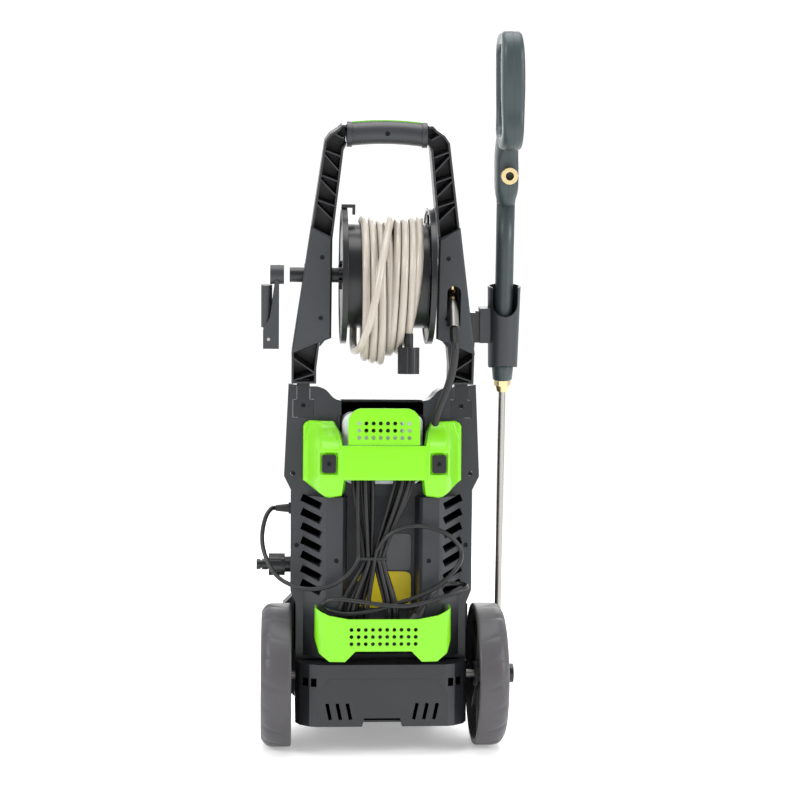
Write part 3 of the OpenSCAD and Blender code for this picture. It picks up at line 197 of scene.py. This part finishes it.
def linear(rgb):
    """A colour of the screen, 0 to 255, as linear light."""
    c = np.asarray(rgb, float) / 255
    return tuple(np.where(c <= 0.04045, c / 12.92, ((c + 0.055) / 1.055) ** 2.4)) + (1.0,)


def scaled(colour, by):
    return tuple(min(1.0, v * by) for v in colour[:3]) + (1.0,)


def surface(name, paint, **fixed):
    """A material on one Principled shader: paint(place) gives its varying inputs, and fixed sets its constants."""
    made = bpy.data.materials.new(name)
    made.use_nodes = True
    tree = made.node_tree
    shader = tree.nodes["Principled BSDF"]
    for key, value in fixed.items():
        shader.inputs[key.replace("_", " ")].default_value = value
    place = Field(tree, tree.nodes.new("ShaderNodeTexCoord").outputs["Object"])
    for key, value in paint(place).items():
        tree.links.new(value.socket, shader.inputs[key])
    return made


def softened(place, radius):
    """The normal with its edges rounded off, as a moulding's are."""
    return place.node("ShaderNodeBevel", settings={"samples": 4}, Radius=radius)


def moulded(name, rgb, rough=0.45, grain=900.0, depth=0.00006, edge=0.0009, mottle=0.10, **fixed):
    """Injection-moulded plastic: a fine spark-eroded grain, slow mottling of tone and gloss, paler rubbed edges."""
    colour = linear(rgb)

    def paint(place):
        fine = place.noise(grain, 3.0, 0.6)
        slow = place.noise(9.0, 3.0, 0.5)
        rounded = softened(place, edge)
        geometry = place.node("ShaderNodeNewGeometry", out=1)
        same = place.node("ShaderNodeVectorMath", out=1, settings={"operation": "DOT_PRODUCT"}, i0=rounded,
                i1=geometry)
        rubbed = (1 - same).step(0.004, 0.10) * (0.45 + 0.55 * place.noise(60.0, 3.0, 0.6))
        body = slow.step(0.3, 0.7).blend(scaled(colour, 1 - mottle), scaled(colour, 1 + mottle))
        return {"Base Color": (rubbed * 0.3).blend(body, scaled(colour, 1.4)),
                "Roughness": (rough - 0.05) + slow * 0.10 + fine * 0.05,
                "Normal": place.node("ShaderNodeBump", Strength=0.55, Distance=depth, Height=fine, Normal=rounded)}

    return surface(name, paint, **fixed)


def turned_metal(name, rgb, rough=0.26, stretch=(1.0, 1.0, 22.0), edge=0.0005):
    """Drawn or turned metal: long fine scratches, with a slight drift of gloss."""
    colour = linear(rgb)

    def paint(place):
        pulled = place.node("ShaderNodeMapping", Vector=place, Scale=stretch)
        lines = pulled.noise(240.0, 4.0, 0.65)
        slow = place.noise(14.0, 2.0)
        return {"Base Color": lines.step(0.3, 0.75).blend(scaled(colour, 0.86), scaled(colour, 1.08)),
                "Roughness": (rough - 0.08) + lines * 0.12 + slow * 0.08,
                "Normal": place.node("ShaderNodeBump", Strength=0.30, Distance=0.00003, Height=lines,
                        Normal=softened(place, edge))}

    return surface(name, paint, Metallic=1.0)


def braided_hose(name, rgb):
    """A textile sleeve in clear rubber: two sets of threads that cross at a slant, on the tube's own UV."""
    colour = linear(rgb)

    def paint(place):
        uv = place.node("ShaderNodeUVMap", settings={"uv_map": "along"})
        along, round_ = uv.axis(0), uv.axis(1)
        left = (along * 1500.0 + round_ * 16.0 * 2 * math.pi).math("SINE")
        right = (along * 1500.0 - round_ * 16.0 * 2 * math.pi).math("SINE")
        weave = (left * right) * 0.5 + 0.5
        soil = place.noise(28.0, 3.0, 0.6)
        pale = weave.step(0.1, 0.9).blend(scaled(colour, 0.96), scaled(colour, 1.03))
        return {"Base Color": (soil.step(0.45, 0.75) * 0.5).blend(pale, scaled(colour, 0.80)),
                "Roughness": 0.30 + weave * 0.10,
                "Normal": place.node("ShaderNodeBump", Strength=0.25, Distance=0.00008, Height=weave)}

    return surface(name, paint, Coat_Weight=0.35, Coat_Roughness=0.22)


def cord_jacket(name, rgb):
    """A smooth PVC jacket with faint drag lines along it and finger marks."""
    colour = linear(rgb)

    def paint(place):
        uv = place.node("ShaderNodeUVMap", settings={"uv_map": "along"})
        drag = uv.node("ShaderNodeMapping", Vector=uv, Scale=(3.0, 30.0, 1.0)).noise(7.0, 3.0)
        marks = place.noise(45.0, 3.0)
        return {"Base Color": marks.step(0.35, 0.75).blend(scaled(colour, 0.85), scaled(colour, 1.35)),
                "Roughness": 0.30 + marks * 0.14,
                "Normal": place.node("ShaderNodeBump", Strength=0.35, Distance=0.00008, Height=drag)}

    return surface(name, paint)


DARK = moulded("dark_grain", (42, 44, 48), 0.38)
BASE = moulded("base_grain", (34, 35, 39), 0.36)
BLACK = moulded("black_satin", (22, 23, 26), 0.26, grain=1200.0, depth=0.00003)
GREEN = moulded("lime_gloss", (122, 208, 14), 0.28, grain=1500.0, depth=0.00002, mottle=0.035, Coat_Weight=0.15)
WHEEL = moulded("tyre_grain", (68, 66, 69), 0.44, grain=700.0)
GUNGREY = moulded("gun_grain", (48, 60, 62), 0.34, grain=800.0)
COVER = moulded("cover_grain", (44, 47, 51), 0.40, grain=500.0, depth=0.0001)
RED = moulded("red_catch", (176, 30, 22), 0.35)
RUBBER = moulded("soft_rubber", (18, 18, 20), 0.45, grain=600.0)
STEEL = turned_metal("drawn_steel", (164, 162, 157), 0.32)
DULL = turned_metal("black_oxide", (44, 45, 48), 0.38, (1.0, 1.0, 1.0))
BRASS = turned_metal("turned_brass", (222, 200, 152), 0.24, (1.0, 1.0, 6.0))
IRON = turned_metal("motor_iron", (130, 112, 98), 0.5, (1.0, 1.0, 1.0))
HOSE = braided_hose("hose_braid", (178, 170, 158))
CORD = cord_jacket("cord_jacket", (20, 20, 22))


def milky():
    """Blown polyethylene: cloudy white with a soft waviness from the mould."""
    white = linear((226, 229, 228))

    def paint(place):
        cloud = place.noise(22.0, 3.0)
        return {"Base Color": cloud.step(0.3, 0.7).blend(scaled(white, 0.93), scaled(white, 1.04)),
                "Roughness": 0.34 + cloud * 0.14,
                "Normal": place.node("ShaderNodeBump", Strength=0.25, Distance=0.0004,
                        Height=place.noise(60.0, 2.0), Normal=softened(place, 0.0012))}

    return surface("milky_tank", paint, Subsurface_Weight=0.15, Subsurface_Scale=0.01)


MILK = milky()

FINISH = {
    DARK: "rear_housing front_housing crank_arm crank_grip grip_cover gun_holster",
    BASE: "base_housing front_foot handle_frame",
    BLACK: "tank_cap reel_flange_left reel_flange_right reel_drum hose_nut holster_bracket gun_trigger lance_nozzle "
           "inlet_body inlet_nut yoke_pads axle_caps switch_box switch_knob cord_tie",
    GREEN: "front_cover cord_yoke tank_guard cord_basket grip_trim",
    WHEEL: "wheel_left wheel_right",
    COVER: "arm_cover_left arm_cover_right",
    GUNGREY: "gun_shell_left gun_shell_right",
    RED: "trigger_lock",
    RUBBER: "foot_pads hose_tail link_hose cable_gland plug power_cord cord_hank",
    STEEL: "axle_rod crank_pin lance_tube hose_crimp swash_plate piston_1 piston_2 piston_3 pump_block",
    DULL: "screws",
    BRASS: "swivel_elbow gun_inlet lance_nut",
    IRON: "motor_stator rotor",
    MILK: "tank",
    HOSE: "hose_coil",
}
for finish, names in FINISH.items():
    for name in names.split():
        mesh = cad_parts[name].data
        mesh.materials.clear()
        mesh.materials.append(finish)


# ---------------------------------------------------------------- meshes from arrays
def piece(name, points, faces, material, body, hides=(), smooth=True, uv=None):
    """A mesh object from machine millimetres, riding on a body and standing for CAD nodes."""
    mesh = bpy.data.meshes.new(name)
    mesh.from_pydata(row(points).tolist(), [], [list(f) for f in faces])
    mesh.polygons.foreach_set("use_smooth", [smooth] * len(mesh.polygons))
    if uv is not None:
        layer = mesh.uv_layers.new(name="along")
        loops = np.zeros(len(mesh.loops), np.int64)
        mesh.loops.foreach_get("vertex_index", loops)
        layer.data.foreach_set("uv", np.asarray(uv, np.float32)[loops].ravel())
    mesh.materials.append(material)
    mesh.update()
    made = bpy.data.objects.new(name, mesh)
    bpy.context.scene.collection.objects.link(made)
    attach(made, body)
    if hides:
        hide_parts(*hides)
    return made


def grid_faces(rows, columns, wrap_rows=False, wrap_columns=True):
    """Quads between neighbouring points of a grid whose point (i, j) is number i * columns + j."""
    i = np.arange(rows if wrap_rows else rows - 1)[:, None]
    j = np.arange(columns if wrap_columns else columns - 1)[None, :]
    a, b = i * columns + j, i * columns + (j + 1) % columns
    c, d = ((i + 1) % rows) * columns + (j + 1) % columns, ((i + 1) % rows) * columns + j
    return np.stack([a, b, c, d], -1).reshape(-1, 4)


def smooth_route(points, step):
    """The Catmull-Rom curve through the points, resampled at even steps."""
    p = np.asarray(points, float)
    q = np.vstack([2 * p[0] - p[1], p, 2 * p[-1] - p[-2]])
    t = np.linspace(0, 1, 24, endpoint=False)[:, None]
    a, b, c, d = (q[k:len(q) - 3 + k, None, :] for k in range(4))
    line = 0.5 * (2 * b + (c - a) * t + (2 * a - 5 * b + 4 * c - d) * t ** 2 + (3 * b - a - 3 * c + d) * t ** 3)
    return evenly(np.vstack([line.reshape(-1, 3), p[-1:]]), step)


def evenly(line, step):
    """The same line with its points an even step apart."""
    far = np.concatenate([[0], np.cumsum(np.linalg.norm(np.diff(line, axis=0), axis=1))])
    at = np.linspace(0, far[-1], int(far[-1] / step) + 1)
    return np.stack([np.interp(at, far, line[:, k]) for k in range(3)], 1)


def tube_grid(line, radius, sides):
    """Circles of one radius carried along a line. Each ring is turned as little as possible from the one before, so
    the tube doesn't twist; its ends are drawn in to a point, which closes them. Returns points, faces and UV."""
    ahead = np.gradient(line, axis=0)
    ahead /= np.linalg.norm(ahead, axis=1)[:, None]
    side = np.zeros_like(line)
    first = np.cross(ahead[0], [0.3, 1, 0.2])
    side[0] = first / np.linalg.norm(first)
    for k in range(1, len(line)):
        s = side[k - 1] - ahead[k] * (side[k - 1] @ ahead[k])
        side[k] = s / np.linalg.norm(s)
    other = np.cross(ahead, side)
    a = np.linspace(0, 2 * math.pi, sides, endpoint=False)
    ring = side[:, None] * np.cos(a)[None, :, None] + other[:, None] * np.sin(a)[None, :, None]
    line = np.vstack([line[:1], line, line[-1:]])
    ring = np.concatenate([ring[:1], ring, ring[-1:]])
    radii = np.full(len(line), float(radius))
    radii[[0, -1]] = 0.02
    points = (line[:, None] + ring * radii[:, None, None]).reshape(-1, 3)
    far = np.concatenate([[0], np.cumsum(np.linalg.norm(np.diff(line, axis=0), axis=1))]) / 1000
    uv = np.stack([np.repeat(far, sides), np.tile(a / (2 * math.pi), len(line))], 1)
    return points, grid_faces(len(line), sides), uv


# ---------------------------------------------------------------- high-pressure hose on the reel
AXIS = leaned([3, -9, 694])
HOSE_R = 5.5


def hose_line():
    """Turns round the reel's axis: the angle runs from the top over the user's side to the bottom and up the back.
    Each knot gives the place along the axis and the distance from it at a quarter turn; slack turns hang lower."""
    # (X, radius) at the top and at the bottom of each turn, then the layer it lies in
    tops = [(9.5, 83.5), (-31.5, 81.5), (-20.5, 79), (-9.5, 75.5), (1.5, 73.5), (17.5, 76.5), (28.5, 79),
            (39.5, 81), (49, 81.5)]
    bottoms = [(-43.5, 106), (-28, 120), (-16.5, 123), (-5, 125), (6.5, 112), (8, 112), (20, 109), (32, 98)]
    turns = np.arange(-70, 360 * 8 + 128, 6.0)
    x_knots, r_knots = {}, {}
    for n, (x, r) in enumerate(tops):
        x_knots[360 * n], r_knots[360 * n] = x, r
    x_knots[-90], r_knots[-90] = 12, 78
    for n, (x, r) in enumerate(bottoms):
        top, after = tops[n], tops[n + 1]
        x_knots[360 * n + 180], r_knots[360 * n + 180] = x, r
        for turn, share in ((90, 0.42), (270, 0.58)):
            x_knots[360 * n + turn] = top[0] + (x - top[0]) * 0.5 if turn == 90 else x + (after[0] - x) * 0.5
            near = top[1] if turn == 90 else after[1]
            r_knots[360 * n + turn] = near + (r - near) * 0.10
    # The crossing turn lies outside the slack ones until it is past them
    r_knots[60], r_knots[90], r_knots[120], r_knots[150] = 91, 101, 113, 120
    x_knots[90], x_knots[120], x_knots[150] = -11, -22, -36
    r_knots[360 * 8 + 90], x_knots[360 * 8 + 90] = 82, 44
    r_knots[360 * 8 + 128], x_knots[360 * 8 + 128] = 83, 38.5

    def through(knots):
        keys = sorted(knots)
        values = [knots[k] for k in keys]
        return pchip(np.array(keys, float), np.array(values, float), turns)

    angle = np.radians(turns)
    x, r = through(x_knots), through(r_knots)
    line = np.stack([x - 3, -r * np.sin(angle), r * np.cos(angle)], 1) + AXIS
    tail = leaned([33, -71, 626])
    end = [tail + [1.2, 1.0, 4.0], tail + [0.2, 0, -4], tail + [0, 0, -14]]
    return evenly(smooth_route(np.vstack([line[::4], end]), 3.0), 3.0)


def pchip(x, y, at):
    """A curve through knots that never swings past them: slopes are harmonic means of the spans beside a knot."""
    h, d = np.diff(x), np.diff(y) / np.diff(x)
    m = np.zeros(len(x))
    same = d[:-1] * d[1:] > 0
    m[1:-1][same] = 2 * d[:-1][same] * d[1:][same] / (d[:-1][same] + d[1:][same])
    k = np.clip(np.searchsorted(x, at) - 1, 0, len(h) - 1)
    t = (at - x[k]) / h[k]
    return ((1 + 2 * t) * (1 - t) ** 2 * y[k] + t * (1 - t) ** 2 * h[k] * m[k]
            + t * t * (3 - 2 * t) * y[k + 1] + t * t * (t - 1) * h[k] * m[k + 1])


def make_cord(name, line, radius, sides, material, body, slot, hides, far_end, with_pieces, **facts):
    points, faces, uv = tube_grid(line, radius, sides)
    made = piece(name, points, faces, material, body, hides, uv=uv)
    return made


make_cord("pressure_hose", hose_line(), HOSE_R, 14, HOSE, "reel", "hose", ["hose_coil"], "fitting",
          [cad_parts["hose_tail"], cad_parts["hose_nut"]], stiffness="stiff", lay="coiled")


# ---------------------------------------------------------------- power cord
CORD_R = 3.25
LEAD_IN = [[-155.3, 2, 352], [-161, -1, 351.5], [-169, -11, 341], [-174, -24, 320], [-173, -38, 299],
        [-165, -51, 278],
           [-150, -63, 258], [-124, -74, 246], [-98, -80, 244], [-74, -81, 249], [-56, -81, 260], [-45, -79,
                   271], [-37, -75, 284]]
LEAD_OUT = [[-10, -72, 292], [-8, -75.4, 300], [6, -79, 320], [28, -81, 332], [59, -82, 334], [88, -82, 325],
        [108, -81, 307],
            [112, -82, 288], [101, -84, 269], [77, -88, 248], [48, -91, 234], [16, -90, 223], [-16, -86, 213], [-52,
                    -81, 208],
            [-78, -79, 213], [-86, -86, 224], [-70, -93, 231], [-40, -97, 229], [-4, -99, 224], [32, -99, 222], [64,
                    -97, 228],
            [94, -94, 237], [114, -86, 243], [122, -72, 246], [113, -58, 248], [96, -57, 247], [82, -68, 245], [70,
                    -78, 236],
            [59, -82, 221.7]]


def hank_line():
    """Long loops hung behind the beam and drawn together by the tie. Each loop has its own lane to the left and to
    the right at three heights, and its own layer from front to back; its ends are arcs that join the two lanes."""
    left = {390: [-9.5, -15, -20.5, -26, -31.5, -37, -42.5], 286: [-15.7, -15.7, -15.7, -21.6, -21.6, -27.5, -27.5],
            215: [-22, -29, -36, -42, -48, -55, -61]}
    right = {390: [11, 16, 21, 26, 31, 36, 41], 286: [-9.8, -9.8, -9.8, -3.9, -3.9, 2, 2],
            215: [1, 5, 9, 9, 13, 17, 20]}
    layer = np.array([0, 1, 2, 0, 1, 0, 1]) * 6.6
    deep = {390: -68.6, 286: -68.6, 215: -73.0}

    def fold(a, b, z, up, y):
        """Half a ring from lane a to lane b that is never tighter than a real fold, with its far side at height z."""
        middle, reach = (a + b) / 2, max(abs(b - a) / 2, 19.5)
        turn = np.radians([25, 60, 90, 120, 155])
        x = middle - np.sign(b - a) * reach * np.cos(turn)
        return [[xi, y, z - up * reach * (1 - math.sin(t))] for xi, t in zip(x, turn)]

    line = [[-36, -72, 300]]
    order = [5, 6, 3, 4, 2, 1]
    for n, k in enumerate(order):
        y = {z: deep[z] + layer[k] for z in deep}
        if n:
            line += [[left[215][k], y[215], 215], [left[286][k], y[286], 276], [left[286][k], y[286], 296]]
        line += [[left[390][k], y[390], 390]]
        line += fold(left[390][k], right[390][k], 438 - 1.2 * n, 1, y[390])
        line += [[right[390][k], y[390], 390], [right[286][k], y[286], 296], [right[286][k], y[286], 276],
                [right[215][k], y[215], 215]]
        after = (order + [0])[n + 1]
        line += fold(right[215][k], left[215][after], 155 + 1.5 * n, -1, (y[215] + deep[215] + layer[after]) / 2)
    return line + [[-22, -73, 215], [-13, -69, 276]]


def cord_line():
    return evenly(smooth_route(np.array(LEAD_IN + hank_line() + LEAD_OUT, float), 2.5), 2.5)


make_cord("mains_cord", cord_line(), CORD_R, 10, CORD, "machine", "rubber", ["power_cord", "cord_hank"], "plug",
          [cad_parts["plug"]], stiffness="medium", lay="coiled")

# ---------------------------------------------------------------- surfaces that stand for CAD nodes
def squircle(sides, power):
    """Unit cross-section between a circle and a square: cosine and sine, each to the power 2 / power."""
    a = np.linspace(0, 2 * math.pi, sides, endpoint=False)
    c, s = np.cos(a), np.sin(a)
    return np.stack([np.sign(c) * np.abs(c) ** (2 / power), np.sign(s) * np.abs(s) ** (2 / power)], 1)


def joined(parts):
    """Several (points, faces) as one."""
    points, faces, count = [], [], 0
    for p, f in parts:
        points.append(p.reshape(-1, 3))
        faces += (np.asarray(f) + count).tolist()
        count += len(points[-1])
    return np.vstack(points), faces


def lofted(rings):
    """A skin over rings of equal count, each a list of points, with both ends drawn to their middles."""
    rings = np.asarray(rings, float)
    first, last = rings[:1].mean(1, keepdims=True), rings[-1:].mean(1, keepdims=True)
    rings = np.concatenate([first + (rings[:1] - first) * 1e-3, rings, last + (rings[-1:] - last) * 1e-3])
    return rings.reshape(-1, 3), grid_faces(len(rings), rings.shape[1])


def gun_parts():
    """The gun in its own upright frame: a grip and knuckle guard as one closed ring whose section swells at the palm,
    a body that flattens out of the round barrel cover, and the barrel cover with its collar."""
    route = np.array([[-75, 298], [-75, 325], [-76, 352], [-75.5, 380], [-72, 404], [-64, 418], [-46, 421.5],
            [-20, 420], [4, 415],
                      [19, 401], [24, 372], [24.5, 340], [21, 312], [12, 290], [-6, 279], [-32, 275], [-60,
                              280]], float)
    thick = np.array([15.5, 15, 15.5, 16.5, 17.5, 13, 9.8, 9, 8.5, 8, 7.5, 7.3, 7.5, 8.5, 9, 9.5, 12])
    wide = np.array([14.6, 15.6, 16.2, 16.2, 15.6, 14.6, 13.6, 13, 12.4, 12, 11.6, 11.6, 12, 13.6, 14.6, 15, 14.8])
    n = len(route)
    knots = np.arange(-3, n + 3)
    at = np.linspace(0, n, 240, endpoint=False)

    def around(v):
        v = np.asarray(v, float)[knots % n]
        k = np.floor(at).astype(int) + 3
        t = at - np.floor(at)
        a, b, c, d = v[k - 1], v[k], v[k + 1], v[k + 2]
        return 0.5 * (2 * b + (c - a) * t + (2 * a - 5 * b + 4 * c - d) * t ** 2 + (3 * b - a - 3 * c + d) * t ** 3)

    y, z, deep, across = around(route[:, 0]), around(route[:, 1]), around(thick), around(wide)
    dy, dz = np.gradient(y), np.gradient(z)
    far = np.hypot(dy, dz)
    ny, nz = -dz / far, dy / far
    # Four shallow seats for the fingers on the inner side of the grip
    seat = np.exp(-((y + 75) / 9) ** 2) * (1.1 * np.cos((z - 318) / 21 * 2 * math.pi))
    section = squircle(28, 4.5)
    inner = (section[:, 1] < 0).astype(float)
    out = section[None, :, 1] * deep[:, None] - seat[:, None] * inner[None] * 0.8
    x = section[None, :, 0] * across[:, None] * np.ones_like(out)
    ring = np.stack([x, y[:, None] + ny[:, None] * out, z[:, None] + nz[:, None] * out], -1)
    handle = (ring, grid_faces(240, 28, wrap_rows=True)[:, ::-1])
    rings = []
    for h, w, back, front, power in ((182, 13.5, -13.5, 13.5, 2), (190, 14, -15, 15, 2.2), (198, 15.6, -21, 19, 3),
            (206, 16.3, -24, 21, 4),
                                     (216, 16.5, -25, 22, 4.5), (240, 16.5, -25, 22, 4.5), (252, 16.4, -26, 22,
                                             4), (262, 16.0, -30, 22, 3.6),
                                     (272, 15.4, -38, 21, 3.4), (280, 14.6, -44, 18, 3.2), (285, 13.0, -40, 12,
                                             3.0)):
        shape = squircle(40, power)
        rings.append(np.stack([shape[:, 0] * w, (back + front) / 2 + shape[:, 1] * (front - back) / 2,
                np.full(40, h)], 1))
    body = lofted(rings)
    round_ = squircle(40, 2.0)
    profile = [(-80, 13.6), (-79, 14.5), (-58, 16.3), (-56.6, 15.8), (-56.2, 13.5), (-40, 13.5), (0, 13.4),
            (60, 13.4), (120, 13.4), (184, 13.6)]
    barrel = lofted([np.stack([round_[:, 0] * r, round_[:, 1] * r, np.full(40, h)], 1) for h, r in profile])
    points, faces = joined([handle, body, barrel])
    uv = points[:, [0, 2]] / 1000
    # The handle stands a little more upright than the barrel
    points = points - np.stack([np.clip((points[:, 2] - 215) / 200, 0, 1.1) * 4.2, points[:, 2] * 0,
            points[:, 2] * 0], 1)
    return gun_place(points), faces, uv


def gun_skin():
    """The gun's two halves meet in a fine parting line."""
    colour = linear((48, 60, 62))

    def paint(place):
        uv = place.node("ShaderNodeUVMap", settings={"uv_map": "along"})
        seam = uv.axis(0).math("ABSOLUTE").step(0.00015, 0.0006)
        fine = place.noise(800.0, 3.0, 0.6)
        slow = place.noise(12.0, 3.0)
        body = slow.step(0.3, 0.7).blend(scaled(colour, 0.88), scaled(colour, 1.12))
        return {"Base Color": seam.blend(scaled(colour, 0.55), body),
                "Roughness": 0.32 + slow * 0.12 + fine * 0.05,
                "Normal": place.node("ShaderNodeBump", Strength=0.5, Distance=0.0003, Height=seam + fine * 0.15)}

    return surface("gun_halves", paint)


points, faces, uv = gun_parts()
piece("gun_shell", points, faces, gun_skin(), "gun", ["gun_shell_left", "gun_shell_right"], uv=uv)


def wheel_parts(side):
    """A blown plastic wheel about X: a tyre whose tread is a ring of wedges with slanting notches between
    them, a dished web, a hub, and spokes and ribs between the hub and the tyre."""
    steps = 432
    a = np.linspace(0, 2 * math.pi, steps, endpoint=False)
    half = 22.0
    # (X, radius, how much of the tread's relief it takes)
    profile = np.array([(-half, 98, 0), (-half, 102, 0), (-half + 0.5, 103.6, 0), (-half + 1.6, 104.6, 0.1),
            (-half + 4, 105, 0.3), (-half + 8, 105, 0.6),
        (-12, 105, 0.8), (-8, 105, 1), (-4, 105, 1), (0, 105, 1), (4, 105, 1), (8, 104.8, 1), (11, 104.2, 1), (14,
                103, 1), (17, 100.6, 0.8),
        (19.5, 97.4, 0.4), (21.3, 94.4, 0.1), (half, 92.4, 0), (half, 91, 0), (half - 0.8, 90.4, 0), (10, 90.4,
                0), (2.5, 90.4, 0), (2, 89, 0),
        (2, 60, 0), (2, 26, 0), (3, 24.4, 0), (half - 3, 24, 0), (half - 2, 23, 0), (half - 2, 7, 0), (half - 3,
                6.4, 0), (-half + 3, 6.4, 0),
        (-half + 2, 7, 0), (-half + 2, 17, 0), (-half + 3, 18, 0), (-4, 18, 0), (-3, 20, 0), (-3, 60, 0), (-3, 90,
                0), (-4, 91.4, 0), (-12, 97.6, 0)])
    x, r, share = profile.T
    # A notch between one wedge and the next, which slants across the tread and opens towards the shoulder
    phase = (a[:, None] / (2 * math.pi) * 18 + (x[None] * 0.012)) % 1
    across = np.clip((x[None] + 10) / 26, 0, 1)
    notch = np.exp(-((phase - 0.5) / (0.03 + 0.13 * across)) ** 2)
    radius = r[None] - share[None] * (0.35 + 1.5 * across) * notch
    grid = np.stack([x[None] * np.ones((steps, 1)), -np.sin(a)[:, None] * radius, np.cos(a)[:, None] * radius], -1)
    parts = [(grid, grid_faces(steps, len(profile), wrap_rows=True)[:, ::-1])]
    shape = squircle(16, 5)
    for k in range(8):
        t = k * math.pi / 4
        for x0, x1, thick, r0, r1 in ((1.0, 15.5, 6, 22, 92), (-15.5, -2.0, 1.6, 17, 93)):
            rings = []
            for d in np.linspace(r0, r1, 8):
                swell = 1 + 0.25 * ((d - (r0 + r1) / 2) / ((r1 - r0) / 2)) ** 2
                q = np.stack([(x0 + x1) / 2 + shape[:, 0] * (x1 - x0) / 2, shape[:, 1] * thick * swell,
                        np.full(16, d)], 1)
                rings.append(np.stack([q[:, 0], q[:, 1] * math.cos(t) - q[:, 2] * math.sin(t),
                        q[:, 1] * math.sin(t) + q[:, 2] * math.cos(t)], 1))
            parts.append(lofted(rings))
    points, faces = joined(parts)
    points = points * [side, 1, 1] + [4 + side * 157, 0, 105]
    return points, faces if side > 0 else [f[::-1] for f in faces]


for side, name in ((-1, "wheel_left"), (1, "wheel_right")):
    points, faces = wheel_parts(side)
    piece(name + "_tyre", points, faces, WHEEL, name, [name])


def yoke_parts():
    """The cord yoke as one moulding: a skin over an outline in X and Z whose depth runs flat across the beam, swells
    round two pads and slopes back to the rails at both sides, with rolled edges and a skirt turned back all round."""
    side, z0, z1 = 115.6, 400.0, 450.0
    columns = np.unique(np.concatenate([np.linspace(0, 57, 30), np.linspace(57, 61, 9), np.linspace(61, 66, 6),
                                        np.linspace(66, side - 8, 40), np.linspace(side - 8, side, 14)]))
    columns = np.concatenate([-columns[:0:-1], columns])
    ax = np.abs(columns)
    low = np.interp(ax, [0, 57.4, 60.6, 78, 84, side], [z0, z0, z0 - 22.5, z0 - 25, z0 - 24, z0 - 3])
    high = np.interp(ax, [0, 60, 65, 72, side - 9, side - 3, side], [z1, z1, z1 + 20, z1 + 33.5, z1 + 34, z1 + 31,
            z1 + 26])
    v = np.concatenate([np.linspace(0, 0.06, 7), np.linspace(0.06, 0.94, 46)[1:-1], np.linspace(0.94, 1, 7)])
    z = low[:, None] + (high - low)[:, None] * v[None]
    x = np.repeat(columns[:, None], len(v), 1)
    a = np.abs(x)
    # Depth: the beam's face, the slope of the wings below and above it
    back = np.clip((a - 88) / 27, 0, 1)
    back = back * back * (3 - 2 * back) * 44
    upper = np.clip((z - (z1 - 6)) / 40, 0, 1) * np.clip((a - 56) / 10, 0, 1)
    lower = np.clip((z0 - 2 - z) / 22, 0, 1) * 4
    drop = back + upper * upper * (3 - 2 * upper) * 34 * (1 - back / 60) + lower
    drop = np.minimum(drop, 46)
    # A raised rim round each pad, and the pad's seat
    edge = np.maximum(np.abs(a - 79) / 13.5, np.abs(z - 424) / 17)
    drop = drop - 2.2 * np.exp(-((edge - 1.12) / 0.16) ** 2)
    drop = np.where(edge < 0.9, 3.6, drop)
    # The edges roll back
    near = np.minimum(np.minimum(z - low[:, None], high[:, None] - z), np.minimum(side - a, 60))
    roll = np.clip(1 - near / 4.0, 0, 1)
    y = -85 + drop + 3.2 * (1 - np.sqrt(np.clip(1 - roll ** 2, 0, 1)))
    face = np.stack([x, y, z], -1)
    ring = np.concatenate([face[:, 0], face[-1, 1:], face[-2::-1, -1], face[0, -2:0:-1]])
    count = len(ring)
    skirt = [ring]
    for deep, draw in ((3, 0.4), (8, 0.6), (9, 3.0), (3.5, 3.4)):
        q = ring.copy()
        q[:, 1] = np.minimum(ring[:, 1] + deep, -31.5)
        q[:, 0] -= np.sign(ring[:, 0]) * draw * (np.abs(ring[:, 0]) > 57)
        q[:, 2] += np.where(ring[:, 2] > 430, -draw, draw)
        skirt.append(q)
    skirt = np.stack(skirt)
    return joined([(face, grid_faces(len(columns), len(v), wrap_columns=False)[:, ::-1]),
            (skirt, grid_faces(len(skirt), count))])


points, faces = yoke_parts()
piece("yoke_moulding", points, faces, GREEN, "machine", ["cord_yoke"])


def plate(name, x0, x1, z0, z1, y, round_, material):
    """A thin label with round corners, a little proud of the wall behind it."""
    shape = squircle(48, 8)
    rings = []
    for grow, back in ((0, 0.0), (0, 0.5), (-0.4, 0.7)):
        rings.append(np.stack([(x0 + x1) / 2 + shape[:, 0] * ((x1 - x0) / 2 + grow), np.full(48, y - back),
                               (z0 + z1) / 2 + shape[:, 1] * ((z1 - z0) / 2 + grow)], 1))
    points, faces = lofted(rings)
    return piece(name, points, faces, material, "machine", smooth=False)


LABEL_GREY = moulded("label_grey", (96, 98, 102), 0.35, grain=2000.0, depth=0.00001)
LABEL_YELLOW = moulded("label_yellow", (252, 226, 24), 0.35, grain=2000.0, depth=0.00001, mottle=0.04)
plate("label_upper", 8, 45, 262, 316, -15.05, 3, LABEL_GREY)
plate("label_lower", -34, 45, 206, 260, -15.05, 3, LABEL_YELLOW)

floor_mesh = bpy.data.meshes.new("floor")
floor_mesh.from_pydata([(-6, -6, 0), (6, -6, 0), (6, 6, 0), (-6, 6, 0)], [], [(0, 1, 2, 3)])
floor = bpy.data.objects.new("floor", floor_mesh)
bpy.context.scene.collection.objects.link(floor)


def paint_floor(place):
    """Pale studio paper with hardly any tooth."""
    tooth = place.noise(300.0, 2.0)
    return {"Base Color": tooth.step(0.2, 0.8).blend((0.86, 0.86, 0.86, 1), (0.9, 0.9, 0.9, 1)),
            "Roughness": 0.55 + tooth * 0.1}


floor_mesh.materials.append(surface("paper", paint_floor, Emission_Color=(1, 1, 1, 1), Emission_Strength=0.32))
